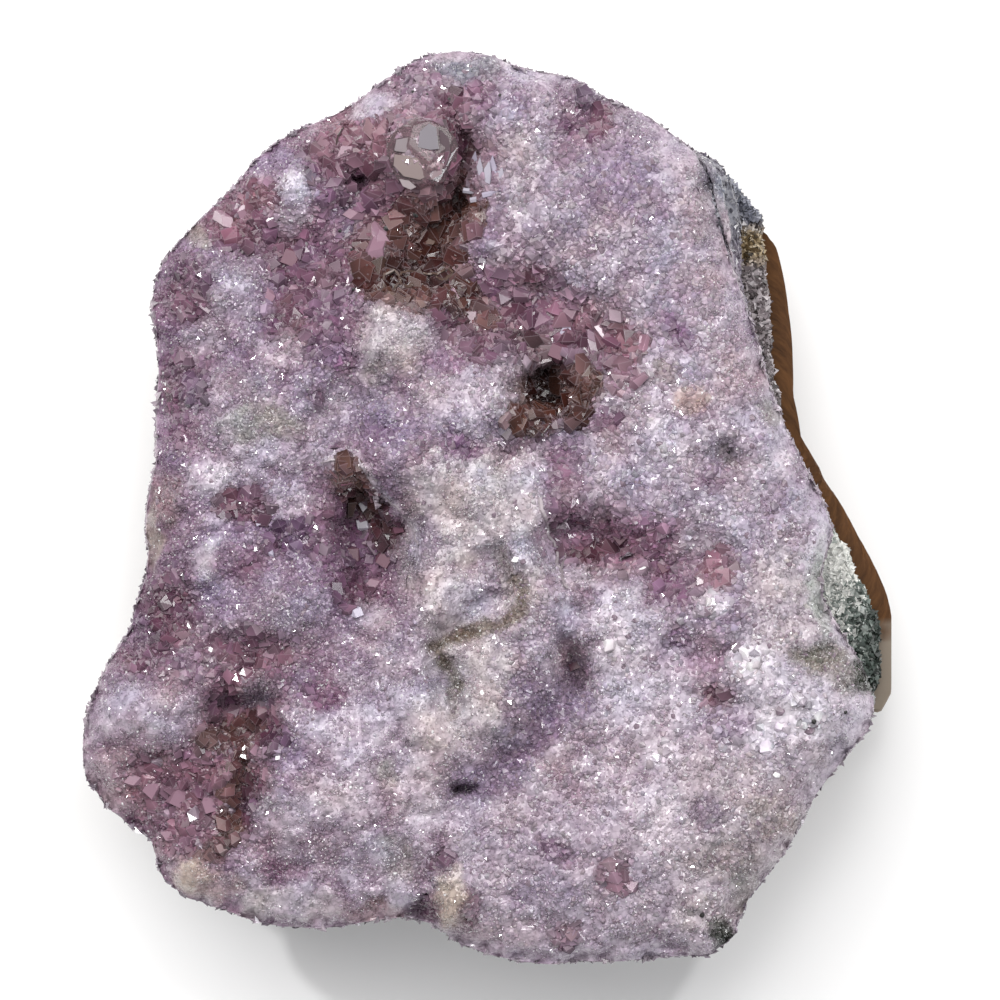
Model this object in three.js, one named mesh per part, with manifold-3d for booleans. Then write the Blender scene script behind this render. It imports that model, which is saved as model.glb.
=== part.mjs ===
// Amethyst cluster: a broken piece of a crystal-lined cavity wall, lying on its back with the crystals up.
// Millimetres, +Z up: X is the width, Y the length. The origin is under the middle of the piece, on the
// flat facet of the brown rind that it rests on.
// Three layers lie on one another: the rind at the back, a thin dark grainy matrix, and the crystal crust.

import * as THREE from "three";
import { mergeVertices } from "three/addons/utils/BufferGeometryUtils.js";
import Module from "manifold-3d";

const wasm = await Module();
wasm.setup();

// Driving dimensions
const CROWN_HEIGHT = 31.0; // the crust's general surface over the middle, before lumps and hollows
const CROWN_FALL = 4.0; // how much lower that surface lies at REACH from the middle
const REACH = 45;
const RIM_DROP = 4.0; // how far the crust rolls down at its edge
const RIM_WIDTH = 2.2; // the distance over which it does so
const CRUST_FLOOR = 12.0; // where the crust meets the matrix, on the left
const MATRIX_DEPTH = 3.2; // thickness of the matrix
const RIGHT_RISE = 4.5; // the layers meet this much higher along the right edge
const RIGHT_RAMP = [8, 30]; // the stretch of the width over which they rise
const LAYER_GAP = 0.3; // clearance between touching layers
const WIDEST = 22; // the flank slopes in below this height, and below BARE_WIDEST on the right
const BARE_WIDEST = 11;
const FLANK_SLOPE = 0.24;
const FACET_SHARE = 0.58; // width of the flat facet at the back, as a share of the rind's
const BARE_FADE = 2; // where this much of the layers stands bare, the flank follows the second of them
const SCAR_DEPTH = 1.5; // how deep the steps and scars of the broken flank are
const SCAR_FADE = 6; // how far below the widest level they reach that depth
const MATRIX_SHARE = [0.6, 0.8]; // how much of the bare width the matrix takes up, in the strip and the patch
const PATCH_WIDTH = [4, 6]; // the bare width at which the strip ends and the patch begins
const CRUST_TURNS = 96; // points round each ring of a flank, and the heights of those rings
const CRUST_LEVELS = [4, 8, 11, 14, 17, 20, 23, 40];
const LAYER_TURNS = 60;
const MATRIX_LEVELS = [4, 8, 11, 14, 25];
const RIND_LEVELS = [0, 1.2, 3.5, 6, 8.5, 11, 20];
const CRYSTAL_CARPET = 1.8; // spacing of the crust's surface points, of which every third is a crystal's tip
const LAYER_STEP = 11; // spacing of the points where layers meet

// The outline seen from above, clockwise from the top
const SILHOUETTE = [
  [-4.8, 45.8], [-0.7, 45.6], [3.0, 44.0], [7.0, 43.1], [10.1, 42.8], [11.3, 41.1], [15.3, 39.4],
  [19.0, 36.9], [23.0, 34.7], [24.8, 32.7], [27.4, 29.0], [28.9, 25.6], [30.0, 19.5], [30.4, 14.3],
  [30.4, 11.2], [31.2, 6.9], [32.5, 4.8], [34.3, 1.7], [36.9, -2.8], [39.8, -8.6], [40.8, -13.4],
  [40.4, -18.5], [38.8, -21.4], [35.3, -25.5], [32.1, -29.7], [30.5, -33.5], [27.9, -37.1],
  [25.4, -39.9], [24.6, -43.7], [22.5, -45.1], [17.7, -45.1], [13.2, -45.6], [9.0, -45.5],
  [5.2, -45.9], [1.0, -45.1], [-4.4, -43.0], [-6.0, -41.2], [-9.5, -40.9], [-14.3, -42.0],
  [-18.5, -42.3], [-22.0, -42.0], [-25.8, -40.6], [-31.0, -39.0], [-33.2, -36.7], [-33.8, -33.2],
  [-38.0, -31.0], [-39.6, -28.1], [-40.8, -26.8], [-40.8, -24.6], [-39.9, -19.8], [-38.6, -16.7],
  [-35.9, -12.7], [-35.0, -8.9], [-33.8, -5.7], [-34.4, -1.2], [-33.1, 4.6], [-33.2, 9.6],
  [-32.8, 14.8], [-33.7, 19.5], [-33.7, 21.6], [-32.5, 24.7], [-28.7, 28.9], [-25.5, 31.9],
  [-22.8, 35.4], [-19.3, 37.7], [-14.9, 39.3], [-12.0, 41.5], [-8.8, 43.9],
];

// Where the crust stops short of the outline on the right, from its upper end down
const CRUST_EDGE = [
  [19.1, 36.9], [21.7, 34.5], [22.7, 29.9], [23.9, 25.3], [25.3, 21.3], [26.8, 17.0], [27.9, 12.7],
  [29.4, 8.5], [31.2, 4.8], [33.7, 0.1], [34.6, -1.9], [34.0, -3.8], [33.2, -6.8], [33.4, -9.8],
  [35.4, -12.8], [37.0, -15.3], [38.7, -17.8], [38.8, -21.4],
];

// Lumps of the crust: x, y, half width, half length, turn in degrees, rise, steepness
// (1 is a soft mound or dish, 2 or more has steep walls)
const LUMPS = [
  [-6.8, 35.3, 3.4, 3.4, 0, 3.2, 2], // the large rounded crystal in the upper channel
  [2.5, 40.0, 4.0, 3.0, 0, 1.6, 1],
  [9.9, 41.4, 1.3, 1.2, 0, 2.2, 2], // the dark bump on the upper edge
  [-18.9, 32.1, 3.4, 3.0, 0, 2.2, 1],
  [10.8, 31.8, 4.6, 5.0, 0, 1.8, 1],
  [17.5, 28.6, 8.0, 8.0, 0, 1.6, 1],
  [-25.6, 22.5, 4.0, 3.6, 0, 2.2, 1],
  [-9.6, 17.4, 3.6, 4.6, 0, 3.4, 1.5],
  [-19.5, 15.8, 3.4, 3.0, 0, 1.6, 1],
  [-1.7, 10.4, 6.0, 4.2, 10, 3.4, 1.5],
  [20.4, 11.0, 4.6, 5.0, 0, 1.4, 1],
  [-23.0, 9.1, 6.0, 5.4, 0, 2.6, 1.5],
  [-28.8, 3.1, 3.4, 3.2, 0, 1.8, 1],
  [-27.3, -5.1, 2.8, 2.6, 0, 1.6, 1],
  [-19.0, -9.7, 3.2, 3.0, 0, 2.2, 1.5],
  [22.6, -9.7, 4.0, 3.4, 0, 1.8, 1],
  [-23.7, -10.4, 2.8, 2.8, 0, 2.0, 1.5],
  [14.3, -11.6, 4.0, 3.4, 0, 1.4, 1],
  [27.1, -17.1, 4.6, 4.0, 0, 1.8, 1],
  [33.0, -19.6, 3.0, 3.2, 0, 1.2, 1],
  [-34.2, -20.3, 5.4, 4.2, 20, 2.8, 1], // the shoulder at the left
  [-14.1, -26.0, 9.5, 7.0, 0, 2.2, 1],
  [26.0, -30.8, 5.0, 5.0, 0, 1.4, 1],
  [12.0, -33.0, 8.0, 6.0, 0, 1.8, 1],
  [-30.0, -36.5, 2.2, 1.6, 0, 1.4, 2], // the two beige nodules
  [-3.6, -38.8, 2.4, 3.4, 0, 2.0, 2],
];

// Hollows, in the same way
const HOLLOWS = [
  [10.5, 38.0, 3.4, 2.6, 0, -1.8, 1],
  [-2.0, 35.3, 2.0, 2.6, 0, -3.2, 2], // the channel beside the rounded crystal, from its head down
  [-12.8, 32.7, 1.8, 1.3, 20, -3.2, 2],
  [-3.1, 30.3, 1.9, 2.0, 0, -3.6, 3],
  [-10.9, 27.9, 5.0, 4.4, 0, -3.2, 1],
  [-5.2, 25.6, 3.2, 3.8, -30, -2.4, 1.5],
  [-19.8, 24.7, 5.0, 4.0, 0, -2.4, 1],
  [4.8, 19.0, 9.0, 4.4, -20, -4.2, 1.5], // the long reddish hollow, and the dark hole at its end
  [5.7, 11.6, 3.4, 3.0, 0, -5.2, 3],
  [7.3, 6.6, 3.0, 2.6, 0, -2.0, 1],
  [-28.0, 15.5, 4.0, 2.6, 0, -1.6, 1],
  [-14.5, 10.0, 2.6, 3.4, 0, -2.6, 1],
  [24.2, 5.1, 1.8, 1.6, 0, -2.0, 2],
  [-10.9, -3.3, 4.4, 6.8, 8, -5.2, 3], // the cavity left of the central ridge
  [9.5, -3.7, 5.4, 3.2, 0, -4.8, 3], // the hollow right of it
  [16.0, -4.6, 5.0, 2.6, -10, -3.2, 1],
  [22.3, -4.8, 3.2, 2.6, 0, -1.4, 1],
  [17.5, -7.5, 3.0, 2.0, 0, -1.6, 1],
  [-30.0, -9.4, 4.6, 4.6, 0, -2.0, 1],
  [21.6, -14.6, 3.4, 1.6, -15, -1.8, 1],
  [8.6, -16.1, 1.8, 3.4, 15, -3.2, 2],
  [22.9, -19.0, 2.2, 1.8, 0, -1.4, 1],
  [-24.6, -20.9, 3.8, 3.2, 0, -4.2, 2], // the brown hollow at the lower left, and the gully below it
  [-23.8, -28.6, 1.8, 5.0, 0, -3.0, 1.5],
  [-2.9, -28.1, 1.0, 1.0, 0, -3.2, 3],
  [-30.7, -28.2, 7.0, 4.4, 0, -1.8, 1],
  [-21.1, -36.5, 3.0, 2.4, 0, -1.6, 1],
];

// Long ridges and grooves: the points they run through, half width, rise
const RUNS = [
  {
    points: [[-8.6, 6.0], [-2.0, 3.0], [3.4, -3.0], [5.2, -9.0], [3.2, -14.5], [0.4, -20.0]], // central ridge
    half: 3.4,
    rise: 3.2,
  },
  {
    points: [[-9.0, 3.6], [-6.2, -6.5], [-7.0, -13.0], [-7.8, -19.0], [-4.5, -24.0]], // its left side
    half: 3.2,
    rise: 2.6,
  },
  {
    points: [[1.2, -5.0], [3.1, -8.1], [-4.5, -12.9], [-5.8, -14.5], [-2.9, -17.7], [-3.3, -20.3]],
    half: 1.3, // the zigzag groove in its crest
    rise: -1.7,
  },
  {
    points: [[-0.8, -28.4], [2.8, -24.7], [5.0, -22.2], [8.7, -16.3]], // the purple groove below it
    half: 1.9,
    rise: -2.6,
  },
  {
    points: [[-15.1, 4.3], [-10.6, 3.1], [-9.3, 0.5]], // the ledge over the cavity
    half: 1.5,
    rise: 2.6,
  },
  {
    points: [[-3.3, 40.7], [-2.3, 34.7], [-3.1, 30.3], [-5.4, 26.0], [-8.4, 22.8]], // the upper channel
    half: 1.9,
    rise: -1.6,
  },
];

// The many small mounds that cover the whole crust
const MOUND_COUNT = 150;
const MOUND_RADIUS = [1.8, 4.0];
const MOUND_RISE = [0.3, 1.4];
const MOUND_STEEPNESS = 1.5;

// Crystals carpet the whole crust: small blunt points on the lumps, taller ones in the hollows
const POINT_RISE = [0.5, 1.3]; // the least and most that a point rises on a lump
const HOLLOW_POINT = 0.16; // how much taller it is for each millimetre of depth
const SCATTER = 0.28; // how far a surface point strays, as a share of the spacing

// The larger crystals have six flat sides under a six-sided point, and lean out of the hollows' walls
const CRYSTAL_COUNT = 46;
const CRYSTAL_RADIUS = [1.0, 1.7];
const CRYSTAL_POINT = 1.2; // height of the point, in radii
const CRYSTAL_SHAFT = 1.2; // length of the sides under it, in radii, mostly buried
const CRYSTAL_LEAN = 0.5; // how far a crystal leans from the surface it grows on, as a slope
const CRYSTAL_EDGE = 2.0; // they keep this far inside the crust's outline
const CRYSTAL_DEPTH = [0.7, 4]; // they are found from the first depth, and everywhere below the second

// A chunk of the crust's broken side stands out low on the upper right
const CHUNK = { angle: 0.9, spread: 0.13, reach: 3.0, top: 20.5 };

// A repeatable random number from 0 to 1
function makeRandom(seed) {
  let state = seed;
  return () => {
    state = (state * 1664525 + 1013904223) % 4294967296;
    return state / 4294967296;
  };
}

const between = (random, [low, high]) => low + (high - low) * random();
const smoothstep = (low, high, value) => THREE.MathUtils.smoothstep(value, low, high);

// The distance from the middle to an outline, as a function of the direction
function polarOutline(points) {
  const spokes = points.map(([x, y]) => ({ angle: Math.atan2(y, x), reach: Math.hypot(x, y) }));
  spokes.sort((one, other) => one.angle - other.angle);
  const first = spokes[0];
  const last = spokes[spokes.length - 1];
  spokes.unshift({ angle: last.angle - 2 * Math.PI, reach: last.reach });
  spokes.push({ angle: first.angle + 2 * Math.PI, reach: first.reach });
  return (angle) => {
    const next = Math.max(1, spokes.findIndex((spoke) => spoke.angle > angle));
    const [before, after] = [spokes[next - 1], spokes[next]];
    const share = (angle - before.angle) / (after.angle - before.angle);
    return THREE.MathUtils.lerp(before.reach, after.reach, share);
  };
}

const outerReach = polarOutline(SILHOUETTE);
const edgeStart = Math.atan2(CRUST_EDGE[0][1], CRUST_EDGE[0][0]);
const edgeEnd = Math.atan2(CRUST_EDGE[CRUST_EDGE.length - 1][1], CRUST_EDGE[CRUST_EDGE.length - 1][0]);
const edgeReach = polarOutline(CRUST_EDGE);

// The crust, matrix and rind each have their own outline
function crustReach(angle) {
  if (angle > edgeEnd && angle < edgeStart) return Math.min(edgeReach(angle), outerReach(angle));
  return outerReach(angle);
}

function bareWidth(angle) {
  return outerReach(angle) - crustReach(angle);
}

// Rounded hollows that meet in sharp crests, as where a stone broke
const crease = (angle) => Math.abs(Math.sin(angle)) - 0.35;

// The broken flank slopes in downwards, and has steps and scars that run through all the layers
function flankReach(angle, z) {
  const bare = smoothstep(0, BARE_FADE, bareWidth(angle));
  const below = Math.max(0, THREE.MathUtils.lerp(WIDEST, BARE_WIDEST, bare) - z);
  const broad = crease(2.5 * angle + z / 11) + crease(6.5 * angle - z / 4 + 1);
  const scars = broad + crease(13.5 * angle + z / 3);
  return outerReach(angle) - FLANK_SLOPE * below - SCAR_DEPTH * smoothstep(0, SCAR_FADE, below) * scars;
}

function crustFlank(angle, z) {
  const offset = (angle - CHUNK.angle) / CHUNK.spread;
  const chunk = z > CHUNK.top ? 0 : CHUNK.reach * Math.exp(-(offset ** 2));
  return Math.min(flankReach(angle, z), crustReach(angle) + chunk);
}

function matrixFlank(angle, z) {
  const bare = bareWidth(angle);
  const share = THREE.MathUtils.lerp(...MATRIX_SHARE, smoothstep(...PATCH_WIDTH, bare));
  return Math.min(flankReach(angle, z), crustReach(angle) + bare * share);
}

// A mound or dish with an elliptical plan
function mound(x, y, [centreX, centreY, halfWidth, halfLength, turn, rise, steepness]) {
  const angle = THREE.MathUtils.degToRad(turn);
  const along = (x - centreX) * Math.cos(angle) + (y - centreY) * Math.sin(angle);
  const across = (y - centreY) * Math.cos(angle) - (x - centreX) * Math.sin(angle);
  const spread = (along / halfWidth) ** 2 + (across / halfLength) ** 2;
  return rise * Math.exp(-(spread ** steepness));
}

function distanceToRun(x, y, points) {
  const here = new THREE.Vector3(x, y, 0);
  const nearest = new THREE.Vector3();
  const stretch = new THREE.Line3();
  let least = Infinity;
  for (let i = 1; i < points.length; i += 1) {
    stretch.set(new THREE.Vector3(...points[i - 1], 0), new THREE.Vector3(...points[i], 0));
    stretch.closestPointToPoint(here, true, nearest);
    least = Math.min(least, nearest.distanceTo(here));
  }
  return least;
}

const mounds = [];
const moundRandom = makeRandom(7);
for (let i = 0; i < MOUND_COUNT; i += 1) {
  const angle = 2 * Math.PI * moundRandom();
  const reach = REACH * Math.sqrt(moundRandom());
  const radius = between(moundRandom, MOUND_RADIUS);
  const rise = between(moundRandom, MOUND_RISE);
  mounds.push([reach * Math.cos(angle), reach * Math.sin(angle), radius, radius, 0, rise, MOUND_STEEPNESS]);
}

// Height of the crust's surface, before crystals
function crustHeight(x, y) {
  const reach = Math.hypot(x, y);
  let height = CROWN_HEIGHT - CROWN_FALL * (reach / REACH) ** 2;
  for (const shape of [...LUMPS, ...HOLLOWS, ...mounds]) height += mound(x, y, shape);
  for (const run of RUNS) height += run.rise * Math.exp(-((distanceToRun(x, y, run.points) / run.half) ** 2));
  const inside = Math.max(0, crustReach(Math.atan2(y, x)) - reach);
  return height - RIM_DROP * Math.exp(-inside / RIM_WIDTH);
}

const ripple = (x, y) => Math.sin(x / 11 + 1.3) * Math.cos(y / 13) + 0.5 * Math.sin((x - y) / 6.5);
const crustFloor = (x, y) => CRUST_FLOOR + RIGHT_RISE * smoothstep(...RIGHT_RAMP, x) + ripple(x, y);
const rindTop = (x, y) => crustFloor(x, y) - MATRIX_DEPTH - 0.8 * ripple(y, -x);

// Turns a closed geometry into a solid that can be joined and cut
function toSolid(geometry) {
  const bare = geometry.clone();
  bare.deleteAttribute("normal");
  bare.deleteAttribute("uv");
  const merged = mergeVertices(bare, 1e-4);
  const corners = merged.index.array;
  const kept = [];
  for (let i = 0; i < corners.length; i += 3) {
    const [a, b, c] = corners.slice(i, i + 3);
    if (a !== b && b !== c && c !== a) kept.push(a, b, c);
  }
  const vertProperties = new Float32Array(merged.attributes.position.array);
  return new wasm.Manifold(new wasm.Mesh({ numProp: 3, vertProperties, triVerts: new Uint32Array(kept) }));
}

function toGeometry(solid) {
  const mesh = solid.getMesh();
  const geometry = new THREE.BufferGeometry();
  geometry.setAttribute("position", new THREE.BufferAttribute(new Float32Array(mesh.vertProperties), 3));
  geometry.setIndex(new THREE.BufferAttribute(new Uint32Array(mesh.triVerts), 1));
  return geometry.toNonIndexed();
}

function indexedGeometry(points, triangles) {
  const geometry = new THREE.BufferGeometry();
  geometry.setAttribute("position", new THREE.Float32BufferAttribute(points.flat(), 3));
  geometry.setIndex(triangles);
  return geometry;
}

const BLOCK_FLOOR = -20;
const BLOCK_MARGIN = 5;

// A block under a height function, wider than the piece, with a flat bottom far below. Its top is a net of
// even triangles, in which each third point is a tip with six others round it.
function blockUnder(height, step, scatter) {
  const random = makeRandom(23);
  const rowStep = step * Math.sqrt(0.75);
  const half = Math.ceil((REACH + BLOCK_MARGIN) / rowStep);
  const count = 2 * half + 1;
  const points = [];
  for (let row = 0; row < count; row += 1) {
    for (let column = 0; column < count; column += 1) {
      const isTip = (column - Math.floor(row / 2) - row + 3 * count) % 3 === 0;
      const x = (column - half + (row % 2) / 2 + scatter * (2 * random() - 1)) * step;
      const y = (row - half + scatter * (2 * random() - 1)) * rowStep;
      points.push([x, y, height(x, y, isTip, random())]);
    }
  }
  const triangles = [];
  for (let row = 0; row < count - 1; row += 1) {
    for (let column = 0; column < count - 1; column += 1) {
      const corner = row * count + column;
      const [right, up, far] = [corner + 1, corner + count, corner + count + 1];
      if (row % 2) triangles.push(corner, right, far, corner, far, up);
      else triangles.push(corner, right, up, right, far, up);
    }
  }
  const border = [];
  for (let i = 0; i < count - 1; i += 1) border.push(i);
  for (let i = 0; i < count - 1; i += 1) border.push(i * count + count - 1);
  for (let i = count - 1; i > 0; i -= 1) border.push((count - 1) * count + i);
  for (let i = count - 1; i > 0; i -= 1) border.push(i * count);
  const foot = points.length;
  for (const corner of border) points.push([points[corner][0], points[corner][1], BLOCK_FLOOR]);
  points.push([0, 0, BLOCK_FLOOR]);
  const middle = points.length - 1;
  border.forEach((corner, i) => {
    const next = (i + 1) % border.length;
    triangles.push(corner, foot + i, foot + next, corner, foot + next, border[next]);
    triangles.push(foot + i, middle, foot + next);
  });
  return toSolid(indexedGeometry(points, triangles));
}

// A solid whose flank passes through rings at these heights, the lowest first, closed by flat ends
function flankSolid(heights, reach, turns) {
  const points = [];
  const triangles = [];
  for (const z of heights) {
    for (let i = 0; i < turns; i += 1) {
      const angle = (i / turns) * 2 * Math.PI - Math.PI;
      const outward = reach(angle, z);
      points.push([outward * Math.cos(angle), outward * Math.sin(angle), z]);
    }
  }
  for (let ring = 0; ring < heights.length - 1; ring += 1) {
    for (let i = 0; i < turns; i += 1) {
      const [low, lowNext] = [ring * turns + i, ring * turns + ((i + 1) % turns)];
      triangles.push(low, lowNext, lowNext + turns, low, lowNext + turns, low + turns);
    }
  }
  const [bottom, top] = [points.length, points.length + 1];
  points.push([0, 0, heights[0]], [0, 0, heights[heights.length - 1]]);
  const lastRing = (heights.length - 1) * turns;
  for (let i = 0; i < turns; i += 1) {
    const next = (i + 1) % turns;
    triangles.push(bottom, next, i, top, lastRing + i, lastRing + next);
  }
  return toSolid(indexedGeometry(points, triangles));
}

function crystalGeometry(radius, point, shaft) {
  const profile = [
    new THREE.Vector2(0, -shaft), new THREE.Vector2(radius, -shaft), new THREE.Vector2(radius, 0),
    new THREE.Vector2(0, point),
  ];
  return new THREE.LatheGeometry(profile, 6);
}

function surfaceNormal(x, y) {
  const step = 1.0;
  const slopeX = (crustHeight(x + step, y) - crustHeight(x - step, y)) / (2 * step);
  const slopeY = (crustHeight(x, y + step) - crustHeight(x, y - step)) / (2 * step);
  return new THREE.Vector3(-slopeX, -slopeY, 1).normalize();
}

// How far a place lies below the general surface, in millimetres
function depthAt(x, y) {
  let depth = 0;
  for (const shape of HOLLOWS) depth -= mound(x, y, shape);
  return depth;
}

function carpetHeight(x, y, isTip, chance) {
  const rise = THREE.MathUtils.lerp(...POINT_RISE, chance) + HOLLOW_POINT * Math.max(0, depthAt(x, y));
  return crustHeight(x, y) + (isTip ? rise : 0);
}

function growCrystals() {
  const random = makeRandom(41);
  const lathePole = new THREE.Vector3(0, 1, 0);
  const crystals = [];
  while (crystals.length < CRYSTAL_COUNT) {
    const angle = 2 * Math.PI * random() - Math.PI;
    const reach = REACH * Math.sqrt(random());
    const [x, y] = [reach * Math.cos(angle), reach * Math.sin(angle)];
    const deepEnough = depthAt(x, y) > CRYSTAL_DEPTH[0] + (CRYSTAL_DEPTH[1] - CRYSTAL_DEPTH[0]) * random();
    if (!deepEnough || reach > crustReach(angle) - CRYSTAL_EDGE) continue;
    const radius = between(random, CRYSTAL_RADIUS);
    const direction = surfaceNormal(x, y);
    direction.x += CRYSTAL_LEAN * (2 * random() - 1);
    direction.y += CRYSTAL_LEAN * (2 * random() - 1);
    const geometry = crystalGeometry(radius, radius * CRYSTAL_POINT, radius * CRYSTAL_SHAFT);
    geometry.rotateY(Math.PI * random());
    geometry.applyQuaternion(new THREE.Quaternion().setFromUnitVectors(lathePole, direction.normalize()));
    geometry.translate(x, y, crustHeight(x, y));
    crystals.push(toSolid(geometry));
  }
  return crystals;
}

function makeCrust() {
  const flank = flankSolid(CRUST_LEVELS, crustFlank, CRUST_TURNS);
  let crust = flank.intersect(blockUnder(carpetHeight, CRYSTAL_CARPET, SCATTER));
  for (const crystal of growCrystals()) crust = crust.add(crystal);
  return crust.subtract(blockUnder((x, y) => crustFloor(x, y) + LAYER_GAP / 2, LAYER_STEP, 0));
}

function makeMatrix() {
  const above = blockUnder((x, y) => crustFloor(x, y) - LAYER_GAP / 2, LAYER_STEP, 0);
  const below = blockUnder((x, y) => rindTop(x, y) + LAYER_GAP / 2, LAYER_STEP, 0);
  return flankSolid(MATRIX_LEVELS, matrixFlank, LAYER_TURNS).intersect(above).subtract(below);
}

// The rind curves in to the flat facet that the piece rests on
function rindFlank(angle, z) {
  const curve = Math.sqrt(1 - (1 - Math.min(1, z / BARE_WIDEST)) ** 2);
  return flankReach(angle, z) * THREE.MathUtils.lerp(FACET_SHARE, 1, curve);
}

function makeRind() {
  const above = blockUnder((x, y) => rindTop(x, y) - LAYER_GAP / 2, LAYER_STEP, 0);
  return flankSolid(RIND_LEVELS, rindFlank, LAYER_TURNS).intersect(above);
}

function piece(name, solid, color, roughness) {
  const material = new THREE.MeshStandardMaterial({ color, roughness, metalness: 0 });
  const mesh = new THREE.Mesh(toGeometry(solid), material);
  mesh.name = name;
  return mesh;
}

const cluster = new THREE.Group();
cluster.add(piece("amethyst_crust", makeCrust(), "#b3a3b5", 0.3));
cluster.add(piece("dark_matrix", makeMatrix(), "#454d48", 0.85));
cluster.add(piece("brown_rind", makeRind(), "#61381a", 0.6));

export default cluster;
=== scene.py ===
import math

import bmesh
import bpy
import numpy as np
from mathutils import Matrix, Vector, noise


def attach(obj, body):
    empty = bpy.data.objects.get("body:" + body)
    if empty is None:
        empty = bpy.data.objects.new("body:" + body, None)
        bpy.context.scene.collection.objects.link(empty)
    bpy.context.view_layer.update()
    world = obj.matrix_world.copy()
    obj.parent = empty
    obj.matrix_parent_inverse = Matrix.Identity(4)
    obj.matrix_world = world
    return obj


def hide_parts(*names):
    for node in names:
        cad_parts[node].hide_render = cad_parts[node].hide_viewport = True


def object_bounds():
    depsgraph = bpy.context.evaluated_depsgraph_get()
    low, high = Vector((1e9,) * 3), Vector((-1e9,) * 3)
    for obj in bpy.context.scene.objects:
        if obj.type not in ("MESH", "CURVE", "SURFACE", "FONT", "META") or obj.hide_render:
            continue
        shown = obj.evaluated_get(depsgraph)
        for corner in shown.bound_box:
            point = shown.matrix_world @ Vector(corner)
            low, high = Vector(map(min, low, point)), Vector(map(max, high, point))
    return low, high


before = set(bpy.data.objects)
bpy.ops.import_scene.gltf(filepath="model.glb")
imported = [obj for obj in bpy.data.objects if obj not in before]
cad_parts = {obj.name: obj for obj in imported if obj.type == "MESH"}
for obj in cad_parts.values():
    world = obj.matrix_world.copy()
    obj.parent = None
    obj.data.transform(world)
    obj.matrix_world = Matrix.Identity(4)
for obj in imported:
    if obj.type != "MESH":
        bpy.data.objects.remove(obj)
cad_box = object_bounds()

# The piece lies on its back on a plain pale floor, and the camera looks straight down on the crystals, as
# the photograph does. A broad soft light hangs over it, and small ones beside it wake the glints.
MM = 0.001
VIEW_WIDTH = 100 * MM
VIEW_LEVEL = 26 * MM
VIEW_DISTANCE = 1200 * MM
VIEW_CENTRE = (1.2 * MM, 0.7 * MM)
SENSOR_WIDTH = 36
FLOOR_SIZE = 3.0
FLOOR_COLOUR = (0.86, 0.86, 0.86, 1)
FLOOR_ROUGHNESS = 0.9
ROOM_LIGHT = 0.45
# name, place, width, power, colour
LIGHTS = [
    ("broad_light", (-0.10, 0.30, 0.50), 0.70, 3.9, (1.0, 0.98, 0.96)),
    ("low_light", (0.45, -0.15, 0.30), 0.20, 0.8, (0.95, 0.97, 1.0)),
    ("window_light", (0.05, 0.22, 0.55), 0.12, 0.4, (1.0, 1.0, 1.0)),
    ("glint_left", (-0.28, 0.16, 0.42), 0.03, 0.9, (1.0, 1.0, 1.0)),
    ("glint_right", (0.22, 0.24, 0.46), 0.03, 0.7, (1.0, 1.0, 1.0)),
]

camera_data = bpy.data.cameras.new("camera")
camera_data.sensor_width = SENSOR_WIDTH
camera_data.lens = SENSOR_WIDTH * VIEW_DISTANCE / VIEW_WIDTH
camera = bpy.data.objects.new("camera", camera_data)
camera.location = (*VIEW_CENTRE, VIEW_LEVEL + VIEW_DISTANCE)
bpy.context.collection.objects.link(camera)
bpy.context.scene.camera = camera
bpy.context.scene.view_settings.view_transform = "Standard"

for name, place, width, power, colour in LIGHTS:
    lamp = bpy.data.lights.new(name, "AREA")
    lamp.shape = "DISK"
    lamp.size = width
    lamp.energy = power
    lamp.color = colour
    holder = bpy.data.objects.new(name, lamp)
    holder.location = place
    holder.rotation_mode = "QUATERNION"
    holder.rotation_quaternion = (Vector((0, 0, VIEW_LEVEL)) - holder.location).to_track_quat("-Z", "Y")
    bpy.context.collection.objects.link(holder)


def fill(node, inputs):
    """Gives each named input of a shader node its value, or links it to another node's output."""
    for key, value in inputs.items():
        if isinstance(value, bpy.types.NodeSocket):
            node.id_data.links.new(value, node.inputs[key])
        else:
            node.inputs[key].default_value = value


def make_material(name):
    material = bpy.data.materials.new(name)
    material.use_nodes = True
    return material, material.node_tree, material.node_tree.nodes["Principled BSDF"]


def mesh_from(bm, name):
    mesh = bpy.data.meshes.new(name)
    bm.to_mesh(mesh)
    bm.free()
    return mesh


def mesh_object(name, mesh, material):
    piece = bpy.data.objects.new(name, mesh)
    bpy.context.collection.objects.link(piece)
    mesh.materials.clear()
    mesh.materials.append(material)
    return piece


world = bpy.data.worlds.new("studio")
bpy.context.scene.world = world
world.use_nodes = True
fill(world.node_tree.nodes["Background"], {"Color": (1, 1, 1, 1), "Strength": ROOM_LIGHT})
floor_material, _, floor_shader = make_material("pale_floor")
fill(floor_shader, {"Base Color": FLOOR_COLOUR, "Roughness": FLOOR_ROUGHNESS})
floor_bm = bmesh.new()
bmesh.ops.create_grid(floor_bm, x_segments=1, y_segments=1, size=FLOOR_SIZE)
mesh_object("floor", mesh_from(floor_bm, "floor"), floor_material)

# The crust is quartz that grew as a skin of tiny crystals over lumps, ridges and hollows. Its relief is
# worked out here in millimetres, from the same lumps and hollows as the solid, and the bed under the
# crystals is a fine closed skin laid on that relief.
CROWN_HEIGHT = 31.0
CROWN_FALL = 4.0
REACH = 45
RIM_DROP = 4.0
RIM_WIDTH = 2.2
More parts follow.
